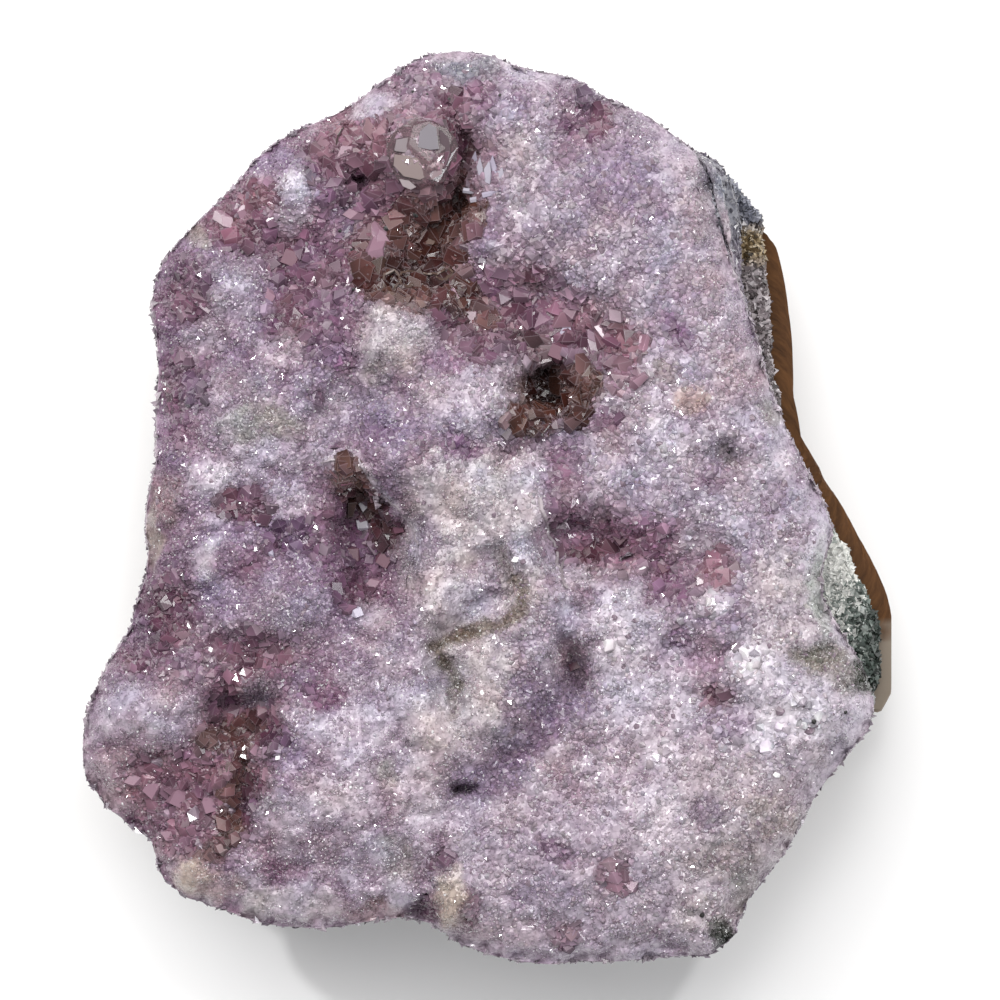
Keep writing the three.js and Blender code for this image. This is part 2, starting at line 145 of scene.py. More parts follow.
# x and y of each corner of the outline, and of the crust's edge beside the matrix
SILHOUETTE = [
    (-4.8, 45.8), (-0.7, 45.6), (3.0, 44.0), (7.0, 43.1), (10.1, 42.8), (11.3, 41.1), (15.3, 39.4),
    (19.0, 36.9), (23.0, 34.7), (24.8, 32.7), (27.4, 29.0), (28.9, 25.6), (30.0, 19.5), (30.4, 14.3),
    (30.4, 11.2), (31.2, 6.9), (32.5, 4.8), (34.3, 1.7), (36.9, -2.8), (39.8, -8.6), (40.8, -13.4),
    (40.4, -18.5), (38.8, -21.4), (35.3, -25.5), (32.1, -29.7), (30.5, -33.5), (27.9, -37.1),
    (25.4, -39.9), (24.6, -43.7), (22.5, -45.1), (17.7, -45.1), (13.2, -45.6), (9.0, -45.5),
    (5.2, -45.9), (1.0, -45.1), (-4.4, -43.0), (-6.0, -41.2), (-9.5, -40.9), (-14.3, -42.0),
    (-18.5, -42.3), (-22.0, -42.0), (-25.8, -40.6), (-31.0, -39.0), (-33.2, -36.7), (-33.8, -33.2),
    (-38.0, -31.0), (-39.6, -28.1), (-40.8, -26.8), (-40.8, -24.6), (-39.9, -19.8), (-38.6, -16.7),
    (-35.9, -12.7), (-35.0, -8.9), (-33.8, -5.7), (-34.4, -1.2), (-33.1, 4.6), (-33.2, 9.6),
    (-32.8, 14.8), (-33.7, 19.5), (-33.7, 21.6), (-32.5, 24.7), (-28.7, 28.9), (-25.5, 31.9),
    (-22.8, 35.4), (-19.3, 37.7), (-14.9, 39.3), (-12.0, 41.5), (-8.8, 43.9),
]
CRUST_EDGE = [
    (19.1, 36.9), (21.7, 34.5), (22.7, 29.9), (23.9, 25.3), (25.3, 21.3), (26.8, 17.0), (27.9, 12.7),
    (29.4, 8.5), (31.2, 4.8), (33.7, 0.1), (34.6, -1.9), (34.0, -3.8), (33.2, -6.8), (33.4, -9.8),
    (35.4, -12.8), (37.0, -15.3), (38.7, -17.8), (38.8, -21.4),
]
# x, y, half width, half length, turn in degrees, rise, steepness
LUMPS = [
    (-6.8, 35.3, 3.4, 3.4, 0, 3.2, 2), (2.5, 40.0, 4.0, 3.0, 0, 1.6, 1),
    (9.9, 41.4, 1.3, 1.2, 0, 2.2, 2), (-18.9, 32.1, 3.4, 3.0, 0, 2.2, 1),
    (10.8, 31.8, 4.6, 5.0, 0, 1.8, 1), (17.5, 28.6, 8.0, 8.0, 0, 1.6, 1),
    (-25.6, 22.5, 4.0, 3.6, 0, 2.2, 1), (-9.6, 17.4, 3.6, 4.6, 0, 3.4, 1.5),
    (-19.5, 15.8, 3.4, 3.0, 0, 1.6, 1), (-1.7, 10.4, 6.0, 4.2, 10, 3.4, 1.5),
    (20.4, 11.0, 4.6, 5.0, 0, 1.4, 1), (-23.0, 9.1, 6.0, 5.4, 0, 2.6, 1.5),
    (-28.8, 3.1, 3.4, 3.2, 0, 1.8, 1), (-27.3, -5.1, 2.8, 2.6, 0, 1.6, 1),
    (-19.0, -9.7, 3.2, 3.0, 0, 2.2, 1.5), (22.6, -9.7, 4.0, 3.4, 0, 1.8, 1),
    (-23.7, -10.4, 2.8, 2.8, 0, 2.0, 1.5), (14.3, -11.6, 4.0, 3.4, 0, 1.4, 1),
    (27.1, -17.1, 4.6, 4.0, 0, 1.8, 1), (33.0, -19.6, 3.0, 3.2, 0, 1.2, 1),
    (-34.2, -20.3, 5.4, 4.2, 20, 2.8, 1), (-14.1, -26.0, 9.5, 7.0, 0, 2.2, 1),
    (26.0, -30.8, 5.0, 5.0, 0, 1.4, 1), (12.0, -33.0, 8.0, 6.0, 0, 1.8, 1),
    (-30.0, -36.5, 2.2, 1.6, 0, 1.4, 2), (-3.6, -38.8, 2.4, 3.4, 0, 2.0, 2),
]
HOLLOWS = [
    (10.5, 38.0, 3.4, 2.6, 0, -1.8, 1), (-2.0, 35.3, 2.0, 2.6, 0, -3.2, 2),
    (-12.8, 32.7, 1.8, 1.3, 20, -3.2, 2), (-3.1, 30.3, 1.9, 2.0, 0, -3.6, 3),
    (-10.9, 27.9, 5.0, 4.4, 0, -3.2, 1), (-5.2, 25.6, 3.2, 3.8, -30, -2.4, 1.5),
    (-19.8, 24.7, 5.0, 4.0, 0, -2.4, 1), (4.8, 19.0, 9.0, 4.4, -20, -4.2, 1.5),
    (5.7, 11.6, 3.4, 3.0, 0, -5.2, 3), (7.3, 6.6, 3.0, 2.6, 0, -2.0, 1),
    (-28.0, 15.5, 4.0, 2.6, 0, -1.6, 1), (-14.5, 10.0, 2.6, 3.4, 0, -2.6, 1),
    (24.2, 5.1, 1.8, 1.6, 0, -2.0, 2), (-10.9, -3.3, 4.4, 6.8, 8, -5.2, 3),
    (9.5, -3.7, 5.4, 3.2, 0, -4.8, 3), (16.0, -4.6, 5.0, 2.6, -10, -3.2, 1),
    (22.3, -4.8, 3.2, 2.6, 0, -1.4, 1), (17.5, -7.5, 3.0, 2.0, 0, -1.6, 1),
    (-30.0, -9.4, 4.6, 4.6, 0, -2.0, 1), (21.6, -14.6, 3.4, 1.6, -15, -1.8, 1),
    (8.6, -16.1, 1.8, 3.4, 15, -3.2, 2), (22.9, -19.0, 2.2, 1.8, 0, -1.4, 1),
    (-24.6, -20.9, 3.8, 3.2, 0, -4.2, 2), (-23.8, -28.6, 1.8, 5.0, 0, -3.0, 1.5),
    (-2.9, -28.1, 1.0, 1.0, 0, -3.2, 3), (-30.7, -28.2, 7.0, 4.4, 0, -1.8, 1),
    (-21.1, -36.5, 3.0, 2.4, 0, -1.6, 1),
]
# course, half width, rise
RUNS = [
    ([(-8.6, 6.0), (-2.0, 3.0), (3.4, -3.0), (5.2, -9.0), (3.2, -14.5), (0.4, -20.0)], 3.4, 3.2),
    ([(-9.0, 3.6), (-6.2, -6.5), (-7.0, -13.0), (-7.8, -19.0), (-4.5, -24.0)], 3.2, 2.6),
    ([(1.2, -5.0), (3.1, -8.1), (-4.5, -12.9), (-5.8, -14.5), (-2.9, -17.7), (-3.3, -20.3)], 1.3, -1.7),
    ([(-0.8, -28.4), (2.8, -24.7), (5.0, -22.2), (8.7, -16.3)], 1.9, -1.4),
    ([(-15.1, 4.3), (-10.6, 3.1), (-9.3, 0.5)], 1.5, 2.6),
    ([(-3.3, 40.7), (-2.3, 34.7), (-3.1, 30.3), (-5.4, 26.0), (-8.4, 22.8)], 1.9, -1.6),
]
MOUND_COUNT = 150
MOUND_RADIUS = (1.8, 4.0)
MOUND_RISE = (0.3, 1.4)
MOUND_STEEPNESS = 1.5
MOUND_SEED = 7
DRAW_FACTOR = 1664525
DRAW_STEP = 1013904223
DRAW_RANGE = 4294967296
BOX_GAP = 0.02
BOX_LOW = np.array(cad_box[0]) / MM + BOX_GAP
BOX_HIGH = np.array(cad_box[1]) / MM - BOX_GAP
BED_VOXEL = 0.5
WELD_DISTANCE = 1e-6


def small_mounds():
    """The same small mounds that the solid has, drawn by the same rule."""
    state = MOUND_SEED
    shapes = []
    for _ in range(MOUND_COUNT):
        draws = []
        for _ in range(4):
            state = (state * DRAW_FACTOR + DRAW_STEP) % DRAW_RANGE
            draws.append(state / DRAW_RANGE)
        angle = 2 * math.pi * draws[0]
        reach = REACH * math.sqrt(draws[1])
        radius = MOUND_RADIUS[0] + (MOUND_RADIUS[1] - MOUND_RADIUS[0]) * draws[2]
        rise = MOUND_RISE[0] + (MOUND_RISE[1] - MOUND_RISE[0]) * draws[3]
        place = (reach * math.cos(angle), reach * math.sin(angle))
        shapes.append((*place, radius, radius, 0, rise, MOUND_STEEPNESS))
    return shapes


def polar_outline(points):
    spokes = sorted((math.atan2(y, x), math.hypot(x, y)) for x, y in points)
    angles, reaches = zip(*spokes)
    return lambda angle: np.interp(angle, angles, reaches, period=2 * math.pi)


outer_reach = polar_outline(SILHOUETTE)
edge_reach = polar_outline(CRUST_EDGE)
EDGE_START = math.atan2(CRUST_EDGE[0][1], CRUST_EDGE[0][0])
EDGE_END = math.atan2(CRUST_EDGE[-1][1], CRUST_EDGE[-1][0])


def crust_reach(angle):
    outer = outer_reach(angle)
    on_edge = (angle > EDGE_END) & (angle < EDGE_START)
    return np.where(on_edge, np.minimum(edge_reach(angle), outer), outer)


def beyond_crust(x, y):
    """Millimetres outside the crust's outline, below 0 within it."""
    return np.hypot(x, y) - crust_reach(np.arctan2(y, x))


def mound(x, y, shape):
    centre_x, centre_y, half_width, half_length, turn, rise, steepness = shape
    cos, sin = math.cos(math.radians(turn)), math.sin(math.radians(turn))
    along = (x - centre_x) * cos + (y - centre_y) * sin
    across = (y - centre_y) * cos - (x - centre_x) * sin
    spread = (along / half_width) ** 2 + (across / half_length) ** 2
    return rise * np.exp(-(spread ** steepness))


def distance_to_run(x, y, points):
    least = np.full(np.shape(x), np.inf)
    for (x0, y0), (x1, y1) in zip(points, points[1:]):
        run_x, run_y = x1 - x0, y1 - y0
        share = np.clip(((x - x0) * run_x + (y - y0) * run_y) / (run_x ** 2 + run_y ** 2), 0, 1)
        least = np.minimum(least, np.hypot(x - x0 - share * run_x, y - y0 - share * run_y))
    return least


def crust_height(x, y, shapes):
    height = CROWN_HEIGHT - CROWN_FALL * (np.hypot(x, y) / REACH) ** 2
    for shape in shapes:
        height = height + mound(x, y, shape)
    for points, half, rise in RUNS:
        height = height + rise * np.exp(-((distance_to_run(x, y, points) / half) ** 2))
    return height - RIM_DROP * np.exp(np.minimum(0, beyond_crust(x, y)) / RIM_WIDTH)


def read_vectors(items, key):
    values = np.empty(len(items) * 3, dtype=np.float32)
    items.foreach_get(key, values)
    return values.reshape(-1, 3).astype(float)


def fine_skin(node, name, voxel):
    """A closed skin of even small faces over a copy of one of the solids, with its points and normals."""
    bm = bmesh.new()
    bm.from_mesh(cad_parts[node].data)
    bmesh.ops.remove_doubles(bm, verts=bm.verts, dist=WELD_DISTANCE)
    piece = bpy.data.objects.new(name, mesh_from(bm, name + "_rough"))
    bpy.context.collection.objects.link(piece)
    remesh = piece.modifiers.new("remesh", "REMESH")
    remesh.mode = "VOXEL"
    remesh.voxel_size = voxel * MM
    graph = bpy.context.evaluated_depsgraph_get()
    skin = bpy.data.meshes.new_from_object(piece.evaluated_get(graph))
    bpy.data.objects.remove(piece)
    skin.name = name
    return skin, read_vectors(skin.vertices, "co") / MM, read_vectors(skin.vertex_normals, "vector")


def move_points(mesh, points):
    mesh.vertices.foreach_set("co", (points * MM).astype(np.float32).ravel())
    mesh.update()


bed_mesh, bed_points, bed_normals = fine_skin("amethyst_crust", "crust_bed", BED_VOXEL)

# Colours of the crust: milky lilac on the lumps, purple to wine red in the hollows, with brown holes and
# cream, beige and greenish places; the near-black pit colour is painted shade at the bottom of the deepest
# holes. Each kind of place has a colour, a rise in millimetres, and the radius in millimetres of the
# crystals that grow there. The bed is laid on the relief and tinted by it.
KINDS = {
    "white": ((0.76, 0.72, 0.77), 0.4, 0.20), "milk": ((0.86, 0.83, 0.87), 0.5, 0.44),
    "pale": ((0.69, 0.64, 0.70), 0.3, 0.22), "cream": ((0.715, 0.67, 0.69), 0.3, 0.20),
    "pink": ((0.69, 0.61, 0.65), 0.1, 0.22), "beige": ((0.72, 0.655, 0.62), 0.3, 0.18),
    "peach": ((0.72, 0.62, 0.61), 0.1, 0.22), "tan": ((0.60, 0.54, 0.53), 0.0, 0.28),
    "green": ((0.60, 0.575, 0.575), 0.1, 0.22), "olive": ((0.50, 0.47, 0.43), -0.5, 0.25),
    "slate": ((0.48, 0.48, 0.52), 0.0, 0.45), "lilac": ((0.57, 0.505, 0.57), 0.0, 0.32),
    "violet": ((0.57, 0.49, 0.59), 0.1, 0.34), "mauve": ((0.475, 0.345, 0.445), -0.25, 0.50),
    "orchid": ((0.63, 0.48, 0.58), 0.4, 0.40), "rose": ((0.50, 0.345, 0.405), -0.2, 0.75),
    "wine": ((0.38, 0.245, 0.31), -0.3, 0.80), "plum": ((0.36, 0.245, 0.325), -0.3, 0.75),
    "brown": ((0.24, 0.13, 0.115), -0.2, 0.75), "groove": ((0.47, 0.42, 0.385), -0.3, 0.34),
    "moss": ((0.22, 0.24, 0.21), -0.2, 0.40), "umber": ((0.33, 0.21, 0.19), -0.1, 0.80),
    # pit: near-black painted shade for the deepest holes, which it also sinks by 1.6 mm
    "pit": ((0.11, 0.045, 0.03), -1.6, 0.40), "silver": ((0.68, 0.69, 0.68), -0.1, 0.35),
}
# kind, x, y, half width, half length, turn in degrees, strength
WASHES = [
    ("mauve", -33.8, 5.7, 4.0, 20.0, 0, 0.5), ("wine", -31.8, -15.3, 7.0, 6.0, 0, 0.35),
    ("rose", -29.0, -27.0, 9.0, 6.0, 0, 0.55), ("rose", -24.0, -23.0, 4.0, 9.0, 0, 0.45),
    ("violet", -22.0, -5.0, 9.0, 7.0, 0, 0.45), ("mauve", -12.0, -2.0, 6.0, 9.0, 0, 0.6),
    ("rose", -9.8, 31.7, 8.5, 10.0, 0, 0.7), ("mauve", -20.8, 29.7, 6.0, 6.0, 0, 0.5),
    ("mauve", -19.0, 17.7, 6.0, 6.0, 0, 0.3), ("mauve", -30.0, 22.7, 4.0, 7.0, 0, 0.5),
    ("rose", 4.0, 20.7, 10.0, 5.0, -15, 0.6), ("pale", 17.0, 20.7, 13.0, 16.0, 0, 0.55),
    ("pale", 21.0, 2.7, 10.0, 8.0, 0, 0.45), ("rose", 13.6, -3.7, 6.5, 3.0, -6, 0.6),
    ("mauve", 20.2, -11.3, 4.0, 5.0, 0, 0.35), ("pink", 13.2, -29.3, 14.0, 10.0, 0, 0.4),
    ("cream", 25.2, -33.3, 8.0, 8.0, -30, 0.7), ("white", 24.0, -16.0, 12.0, 5.0, -20, 0.5),
    ("pale", 8.0, -38.0, 10.0, 6.0, 0, 0.5), ("cream", 32.2, -17.3, 6.0, 7.0, 0, 0.5),
    ("white", -12.0, -22.0, 8.0, 5.0, 0, 0.4),
]
PLACES = [
    # the upper left: rose and mauve slopes round pale lumps, and the brown channel
    ("rose", -24.8, 29.5, 3.4, 2.6, 30, 0.8), ("wine", -23.2, 28.1, 1.6, 1.2, 0, 0.7),
    ("violet", -20.8, 34.2, 2.2, 1.6, 0, 0.9), ("plum", -18.0, 35.7, 1.0, 1.2, 0, 0.7),
    ("white", -19.2, 31.8, 1.6, 1.6, 0, 1), ("pale", -11.4, 39.7, 2.4, 1.3, 20, 0.9),
    ("rose", -14.3, 36.2, 2.6, 2.4, 0, 0.8), ("plum", -13.1, 33.1, 2.0, 0.9, 0, 1),
    ("rose", -10.4, 35.5, 1.2, 2.6, 0, 0.8), ("pink", -7.6, 34.7, 2.0, 2.6, 0, 0.9),
    ("wine", -4.0, 38.4, 1.2, 2.4, 0, 0.8), ("wine", -3.9, 35.0, 1.1, 2.6, 0, 0.9),
    ("brown", -2.2, 35.5, 0.8, 1.3, 0, 1), ("mauve", -14.8, 26.9, 4.6, 3.0, 0, 0.8),
    ("violet", -13.6, 28.5, 2.0, 1.4, 0, 0.6), ("wine", -21.2, 26.3, 2.4, 3.2, 0, 0.6),
    ("wine", -16.8, 23.0, 3.6, 1.2, 0, 0.7), ("brown", -3.1, 30.1, 1.2, 1.4, 0, 1),
    ("brown", -5.6, 26.7, 2.2, 2.6, -30, 0.9), ("rose", -10.6, 26.8, 2.4, 2.4, 0, 0.8),
    ("brown", -8.6, 22.6, 3.4, 1.8, 0, 1), ("rose", -11.2, 24.1, 2.2, 2.2, 0, 0.8),
    ("wine", -20.1, 18.2, 1.9, 2.3, 0, 0.95), ("wine", -18.6, 21.4, 1.6, 1.2, 0, 0.8),
    ("lilac", -25.2, 23.3, 2.2, 1.8, 0, 0.9), ("pale", -25.6, 20.5, 2.6, 2.0, 0, 0.8),
    ("plum", -29.8, 21.7, 1.8, 3.0, 0, 0.7), ("mauve", -32.3, 19.2, 1.2, 2.4, 0, 0.6),
    ("tan", -29.2, 27.1, 1.0, 1.2, 0, 0.8), ("pale", -28.3, 16.9, 2.0, 1.6, 0, 0.7),
    ("slate", 23.6, 31.5, 2.2, 4.6, 20, 1), ("rose", -8.8, 28.9, 3.4, 3.0, 0, 0.9),
    ("umber", -6.2, 27.4, 3.2, 4.2, -20, 0.85), ("umber", -9.0, 23.4, 3.6, 2.2, 0, 0.7),
    ("umber", -10.0, 25.6, 3.6, 2.8, 0, 0.5), ("brown", -8.6, 22.8, 3.4, 1.6, 0, 1),
    ("pit", -7.5, 22.3, 2.6, 1.0, -10, 0.95), ("pit", -3.1, 30.2, 0.9, 1.1, 0, 1),
    ("wine", -13.0, 33.2, 4.0, 2.4, 0, 0.5), ("pale", -19.6, 29.2, 1.8, 1.6, 0, 0.8),
    # the left side, down to the third hollow
    ("wine", -31.2, 12.1, 1.2, 3.0, 0, 0.7), ("plum", -28.7, 12.1, 1.4, 2.0, 0, 0.7),
    ("lilac", -23.6, 11.9, 2.2, 1.6, 0, 0.8), ("mauve", -30.6, 6.7, 1.4, 2.8, 0, 0.6),
    ("green", -22.6, 8.1, 3.4, 1.8, 0, 0.9), ("mauve", -15.2, 17.2, 2.4, 3.8, 0, 0.7),
    ("pale", -14.2, 10.2, 1.7, 1.4, 0, 0.8), ("plum", -17.0, 10.9, 0.8, 1.2, 0, 0.6),
    ("pale", -20.8, 15.7, 2.2, 1.4, 0, 0.7), ("cream", -9.4, 17.0, 2.8, 3.1, 0, 1),
    ("tan", -11.4, 13.3, 1.2, 1.0, 0, 0.6), ("violet", -10.0, 7.9, 2.6, 2.0, 0, 0.7),
    ("mauve", -10.4, 7.1, 1.6, 1.0, 0, 0.6), ("white", -27.9, 2.9, 2.2, 1.9, 0, 0.9),
    ("violet", -29.8, 5.2, 1.6, 1.2, 0, 0.8), ("pale", -20.3, 5.5, 3.4, 1.2, 0, 0.7),
    ("wine", -24.2, 0.3, 2.6, 1.5, 0, 1), ("pale", -19.6, 0.2, 1.6, 1.8, 0, 0.8),
    ("white", -27.3, -5.3, 1.9, 1.7, 0, 0.9), ("plum", -19.6, -3.4, 2.6, 1.3, 0, 0.8),
    ("violet", -17.8, -5.9, 2.2, 1.5, 0, 0.8), ("mauve", -24.6, -5.9, 2.4, 2.0, 0, 0.7),
    ("mauve", -12.8, -3.5, 3.8, 5.8, 8, 1), ("umber", -13.0, 1.6, 1.7, 3.0, 33, 0.9),
    ("pit", -12.2, 0.9, 0.7, 1.6, 33, 0.5), ("plum", -13.6, -7.9, 1.8, 2.2, 0, 0.7),
    ("brown", -10.6, -2.2, 1.3, 2.2, 33, 0.7),
    # the top and the right side
    ("slate", -2.2, 43.8, 3.0, 1.2, 0, 0.7), ("mauve", -0.8, 41.2, 1.6, 1.0, 0, 0.7),
    ("cream", 3.2, 33.7, 1.8, 4.6, 0, 0.5), ("plum", 9.6, 42.1, 1.2, 0.8, 0, 0.9),
    ("mauve", 9.7, 38.5, 2.8, 2.2, 0, 0.8), ("wine", 11.2, 38.3, 0.8, 1.4, 0, 0.7),
    ("mauve", 7.8, 35.5, 1.4, 1.0, 0, 0.5), ("lilac", 14.8, 39.5, 2.0, 1.4, 0, 0.7),
    ("violet", 12.4, 32.3, 3.2, 3.4, 0, 0.7), ("violet", 16.4, 29.1, 1.6, 1.2, 0, 0.6),
    ("pink", 21.8, 28.1, 2.2, 6.0, 15, 0.6), ("white", 11.8, 24.5, 1.2, 0.9, 0, 0.7),
    ("lilac", 7.4, 27.5, 2.0, 1.4, 0, 0.6), ("violet", -0.6, 27.1, 1.4, 2.4, 0, 0.6),
    ("white", 0.9, 25.5, 0.8, 1.1, 0, 0.6), ("umber", -1.8, 28.7, 1.3, 1.9, -20, 0.9),
    ("umber", -4.0, 25.1, 1.5, 1.8, 0, 0.9), ("pit", -4.3, 25.0, 0.9, 1.0, 0, 0.6),
    ("umber", -6.5, 20.5, 1.8, 1.3, 0, 0.8), ("wine", 5.4, 22.9, 1.8, 1.2, 0, 0.8),
    ("pale", 8.9, 23.4, 1.7, 1.3, 0, 0.8), ("mauve", -0.4, 22.3, 2.6, 1.6, 0, 0.8),
    ("wine", -3.2, 19.5, 2.6, 2.0, 0, 0.9), ("umber", -2.6, 20.9, 2.2, 1.6, 0, 0.8),
    ("brown", -2.8, 20.7, 2.0, 1.4, 0, 0.5), ("wine", 3.2, 18.9, 2.4, 2.2, 0, 0.9),
    ("umber", 3.5, 16.3, 2.0, 1.5, 0, 0.6), ("umber", -1.4, 18.4, 1.8, 1.2, 0, 0.6),
    ("rose", 7.8, 19.1, 2.6, 2.2, 0, 0.8), ("wine", 10.8, 16.5, 2.6, 2.2, 0, 0.8),
    ("rose", 13.6, 15.1, 1.4, 3.0, 0, 0.8), ("pale", -1.8, 11.5, 5.0, 2.6, 0, 1),
    ("wine", 0.4, 15.4, 3.2, 1.1, 0, 0.7), ("orchid", -4.4, 14.4, 1.8, 1.0, 0, 0.8),
    ("brown", 6.6, 11.4, 3.8, 2.5, 0, 1), ("pit", 5.6, 11.6, 2.0, 2.0, 20, 0.8),
    ("umber", 9.4, 12.0, 1.8, 1.6, 0, 0.8), ("umber", 4.2, 8.9, 1.6, 1.2, 0, 0.9),
    ("mauve", 11.4, 8.4, 1.8, 1.2, 0, 0.8), ("plum", -3.3, 7.1, 0.6, 1.1, 0, 0.6),
    ("lilac", -0.2, 6.7, 2.8, 1.2, 0, 0.7), ("plum", 3.2, 6.7, 2.6, 1.0, 10, 0.5),
    ("mauve", 7.6, 4.3, 2.0, 2.4, 0, 0.7), ("mauve", 18.8, 17.7, 0.7, 2.2, 35, 0.7),
    ("peach", 20.2, 10.7, 1.5, 1.4, 0, 0.8), ("tan", 17.6, 13.1, 1.4, 1.2, 0, 0.5),
    ("white", 18.0, 6.9, 1.3, 2.8, 30, 1), ("white", 22.8, 7.3, 1.4, 0.8, 0, 0.8),
    ("white", 28.3, 4.5, 1.4, 1.4, 0, 0.9), ("olive", 24.0, 5.4, 0.8, 0.9, 0, 0.35),
    ("mauve", 21.8, 2.7, 1.6, 0.9, 0, 0.5), ("pink", 25.4, 12.7, 2.6, 2.6, 0, 0.5),
    ("green", 28.3, 9.4, 0.9, 1.6, 20, 0.7),
    # the pale ridge in the middle
    ("cream", -1.8, 0.7, 5.6, 5.0, 0, 1), ("cream", -4.8, -5.3, 3.6, 5.4, 0, 0.9),
    ("cream", 3.2, -5.3, 2.2, 6.0, 0, 0.9), ("cream", -1.8, -16.3, 4.2, 6.0, 15, 1),
    ("white", -2.2, -9.2, 2.0, 2.0, 0, 0.7), ("white", 0.6, -3.8, 1.6, 1.2, 0, 0.8),
    ("lilac", -6.2, -3.6, 1.2, 3.0, 0, 0.8), ("mauve", -2.6, 5.9, 1.6, 1.2, 0, 0.9),
    ("violet", -4.6, 14.4, 1.4, 1.0, 0, 0.6), ("cream", -4.8, -22.3, 2.6, 3.0, 0, 0.8),
    ("white", 4.2, 3.7, 1.6, 1.8, 0, 0.8), ("white", 1.0, 10.4, 1.5, 1.4, 0, 0.7),
    ("white", 2.5, -4.6, 1.8, 1.6, 0, 1), ("lilac", -6.8, -17.5, 2.8, 1.0, 0, 0.5),
    # the middle right, round the fourth hollow
    ("orchid", 10.0, -3.3, 4.4, 2.0, -4, 1), ("mauve", 7.6, -0.5, 2.2, 1.4, 0, 0.8),
    ("orchid", 15.2, -2.5, 3.0, 1.6, 0, 0.9), ("wine", 9.6, -4.6, 1.8, 1.1, 0, 1),
    ("mauve", 17.4, -5.8, 1.2, 2.4, 0, 0.9), ("pale", 20.8, -3.4, 1.6, 1.6, 0, 0.9),
    ("mauve", 18.4, -8.3, 2.8, 1.4, -10, 0.8), ("rose", 23.2, -6.1, 1.3, 1.8, 0, 0.8),
    ("white", 8.8, -7.1, 1.8, 0.9, 0, 0.9), ("white", 13.4, -10.5, 2.6, 2.2, 0, 0.9),
    ("mauve", 18.8, -12.9, 1.0, 1.0, 0, 0.6), ("orchid", 22.4, -15.7, 2.4, 2.6, 0, 0.5),
    ("wine", 22.9, -18.7, 1.2, 0.8, 0, 0.8), ("violet", 22.8, -10.5, 1.8, 1.4, 0, 0.6),
    ("orchid", 8.7, -16.0, 1.3, 2.4, 0, 1), ("pink", 8.7, -15.8, 1.3, 2.2, 0, 0.9),
    ("violet", 8.4, -19.9, 2.0, 1.6, 0, 0.7), ("white", 13.4, -14.7, 2.2, 3.8, 0, 1),
    ("cream", 29.4, -7.3, 3.0, 2.6, 0, 0.7), ("cream", 29.8, -12.7, 2.4, 2.0, 0, 0.5),
    ("olive", 33.4, -14.9, 2.4, 1.2, 0, 0.8), ("moss", 37.9, -17.0, 1.5, 2.2, -30, 1),
    ("white", 33.8, -3.4, 1.2, 2.6, 0, 1), ("milk", 32.4, -5.4, 1.4, 1.6, 0, 0.9),
    ("silver", 33.2, -8.4, 1.1, 4.0, 0, 0.9), ("white", 27.4, -17.5, 3.2, 2.4, 0, 0.8),
    ("white", 33.4, -20.3, 4.4, 2.8, 0, 0.9), ("white", 35.4, -20.2, 2.4, 2.0, 0, 1),
    ("green", 35.4, -17.0, 1.4, 1.3, 0, 0.8), ("milk", 26.2, -15.4, 2.0, 1.6, 0, 0.9),
    ("milk", 31.6, -20.8, 2.4, 2.0, 0, 0.9), ("milk", 27.6, -22.6, 1.8, 2.2, 20, 0.8),
    ("milk", 22.4, -9.4, 1.6, 1.3, 0, 0.8), ("milk", 24.2, -22.4, 1.5, 1.3, 0, 0.7),
    ("milk", 13.0, -13.4, 1.6, 1.3, 0, 0.8), ("milk", 17.2, -24.6, 1.6, 1.2, 0, 0.6),
    ("white", 16.8, -19.3, 4.0, 3.0, 0, 0.6), ("violet", 24.2, -21.5, 2.0, 1.6, 0, 0.6),
    ("lilac", 21.6, -30.6, 1.6, 1.5, 0, 0.8),
    # the lower left
    ("plum", -33.6, -11.1, 1.4, 3.0, 0, 0.9), ("wine", -31.2, -9.9, 1.9, 3.6, 0, 0.8),
    ("tan", -33.6, -2.4, 0.8, 3.4, 0, 0.9), ("tan", -31.9, 0.6, 1.3, 2.0, 0, 0.6),
    ("rose", -31.9, 0.6, 1.3, 2.0, 0, 0.4), ("lilac", -19.8, -10.3, 2.8, 1.9, 0, 0.9),
    ("violet", -26.6, -9.5, 2.0, 1.4, 0, 0.7), ("wine", -23.8, -13.9, 3.6, 1.8, 0, 0.7),
    ("wine", -32.9, -13.6, 1.4, 1.6, 0, 0.8), ("mauve", -21.8, -17.5, 1.6, 2.0, 0, 0.7),
    ("mauve", -17.2, -15.7, 1.4, 2.0, 0, 0.6), ("violet", -13.6, -15.2, 1.7, 1.4, 0, 0.8),
    ("wine", -34.8, -14.9, 1.6, 1.0, 0, 0.7), ("pale", -34.2, -20.5, 4.6, 3.0, 0, 0.8),
    ("rose", -24.2, -19.6, 3.2, 3.0, 0, 1), ("plum", -27.2, -18.3, 1.0, 2.4, 0, 0.5),
    ("umber", -24.4, -22.4, 2.4, 1.5, 0, 0.7), ("mauve", -24.6, -19.2, 2.2, 1.2, 0, 0.8),
    ("lilac", -22.6, -18.3, 1.6, 1.6, 0, 0.9), ("umber", -27.4, -23.2, 1.6, 1.4, 0, 0.8),
    ("wine", -21.4, -22.6, 1.4, 1.5, 0, 0.9), ("rose", -31.0, -29.5, 6.0, 4.2, 0, 0.75),
    ("pink", -37.0, -29.9, 2.6, 0.9, -10, 0.7), ("pink", -37.4, -26.2, 1.6, 2.0, 0, 0.7),
    ("wine", -34.2, -26.3, 3.0, 0.8, -20, 0.3), ("umber", -25.2, -28.6, 1.0, 5.0, -12, 0.9),
    ("wine", -23.5, -29.6, 1.1, 2.6, 0, 0.9), ("pale", -19.6, -30.3, 3.2, 2.8, 0, 0.9),
    ("pale", -11.8, -10.4, 1.6, 1.2, 0, 0.9), ("peach", -27.3, -37.9, 3.0, 1.4, 0, 0.6),
    ("umber", -28.0, -34.4, 1.4, 1.1, 0, 0.6), ("beige", -30.0, -36.5, 1.8, 1.4, 0, 1),
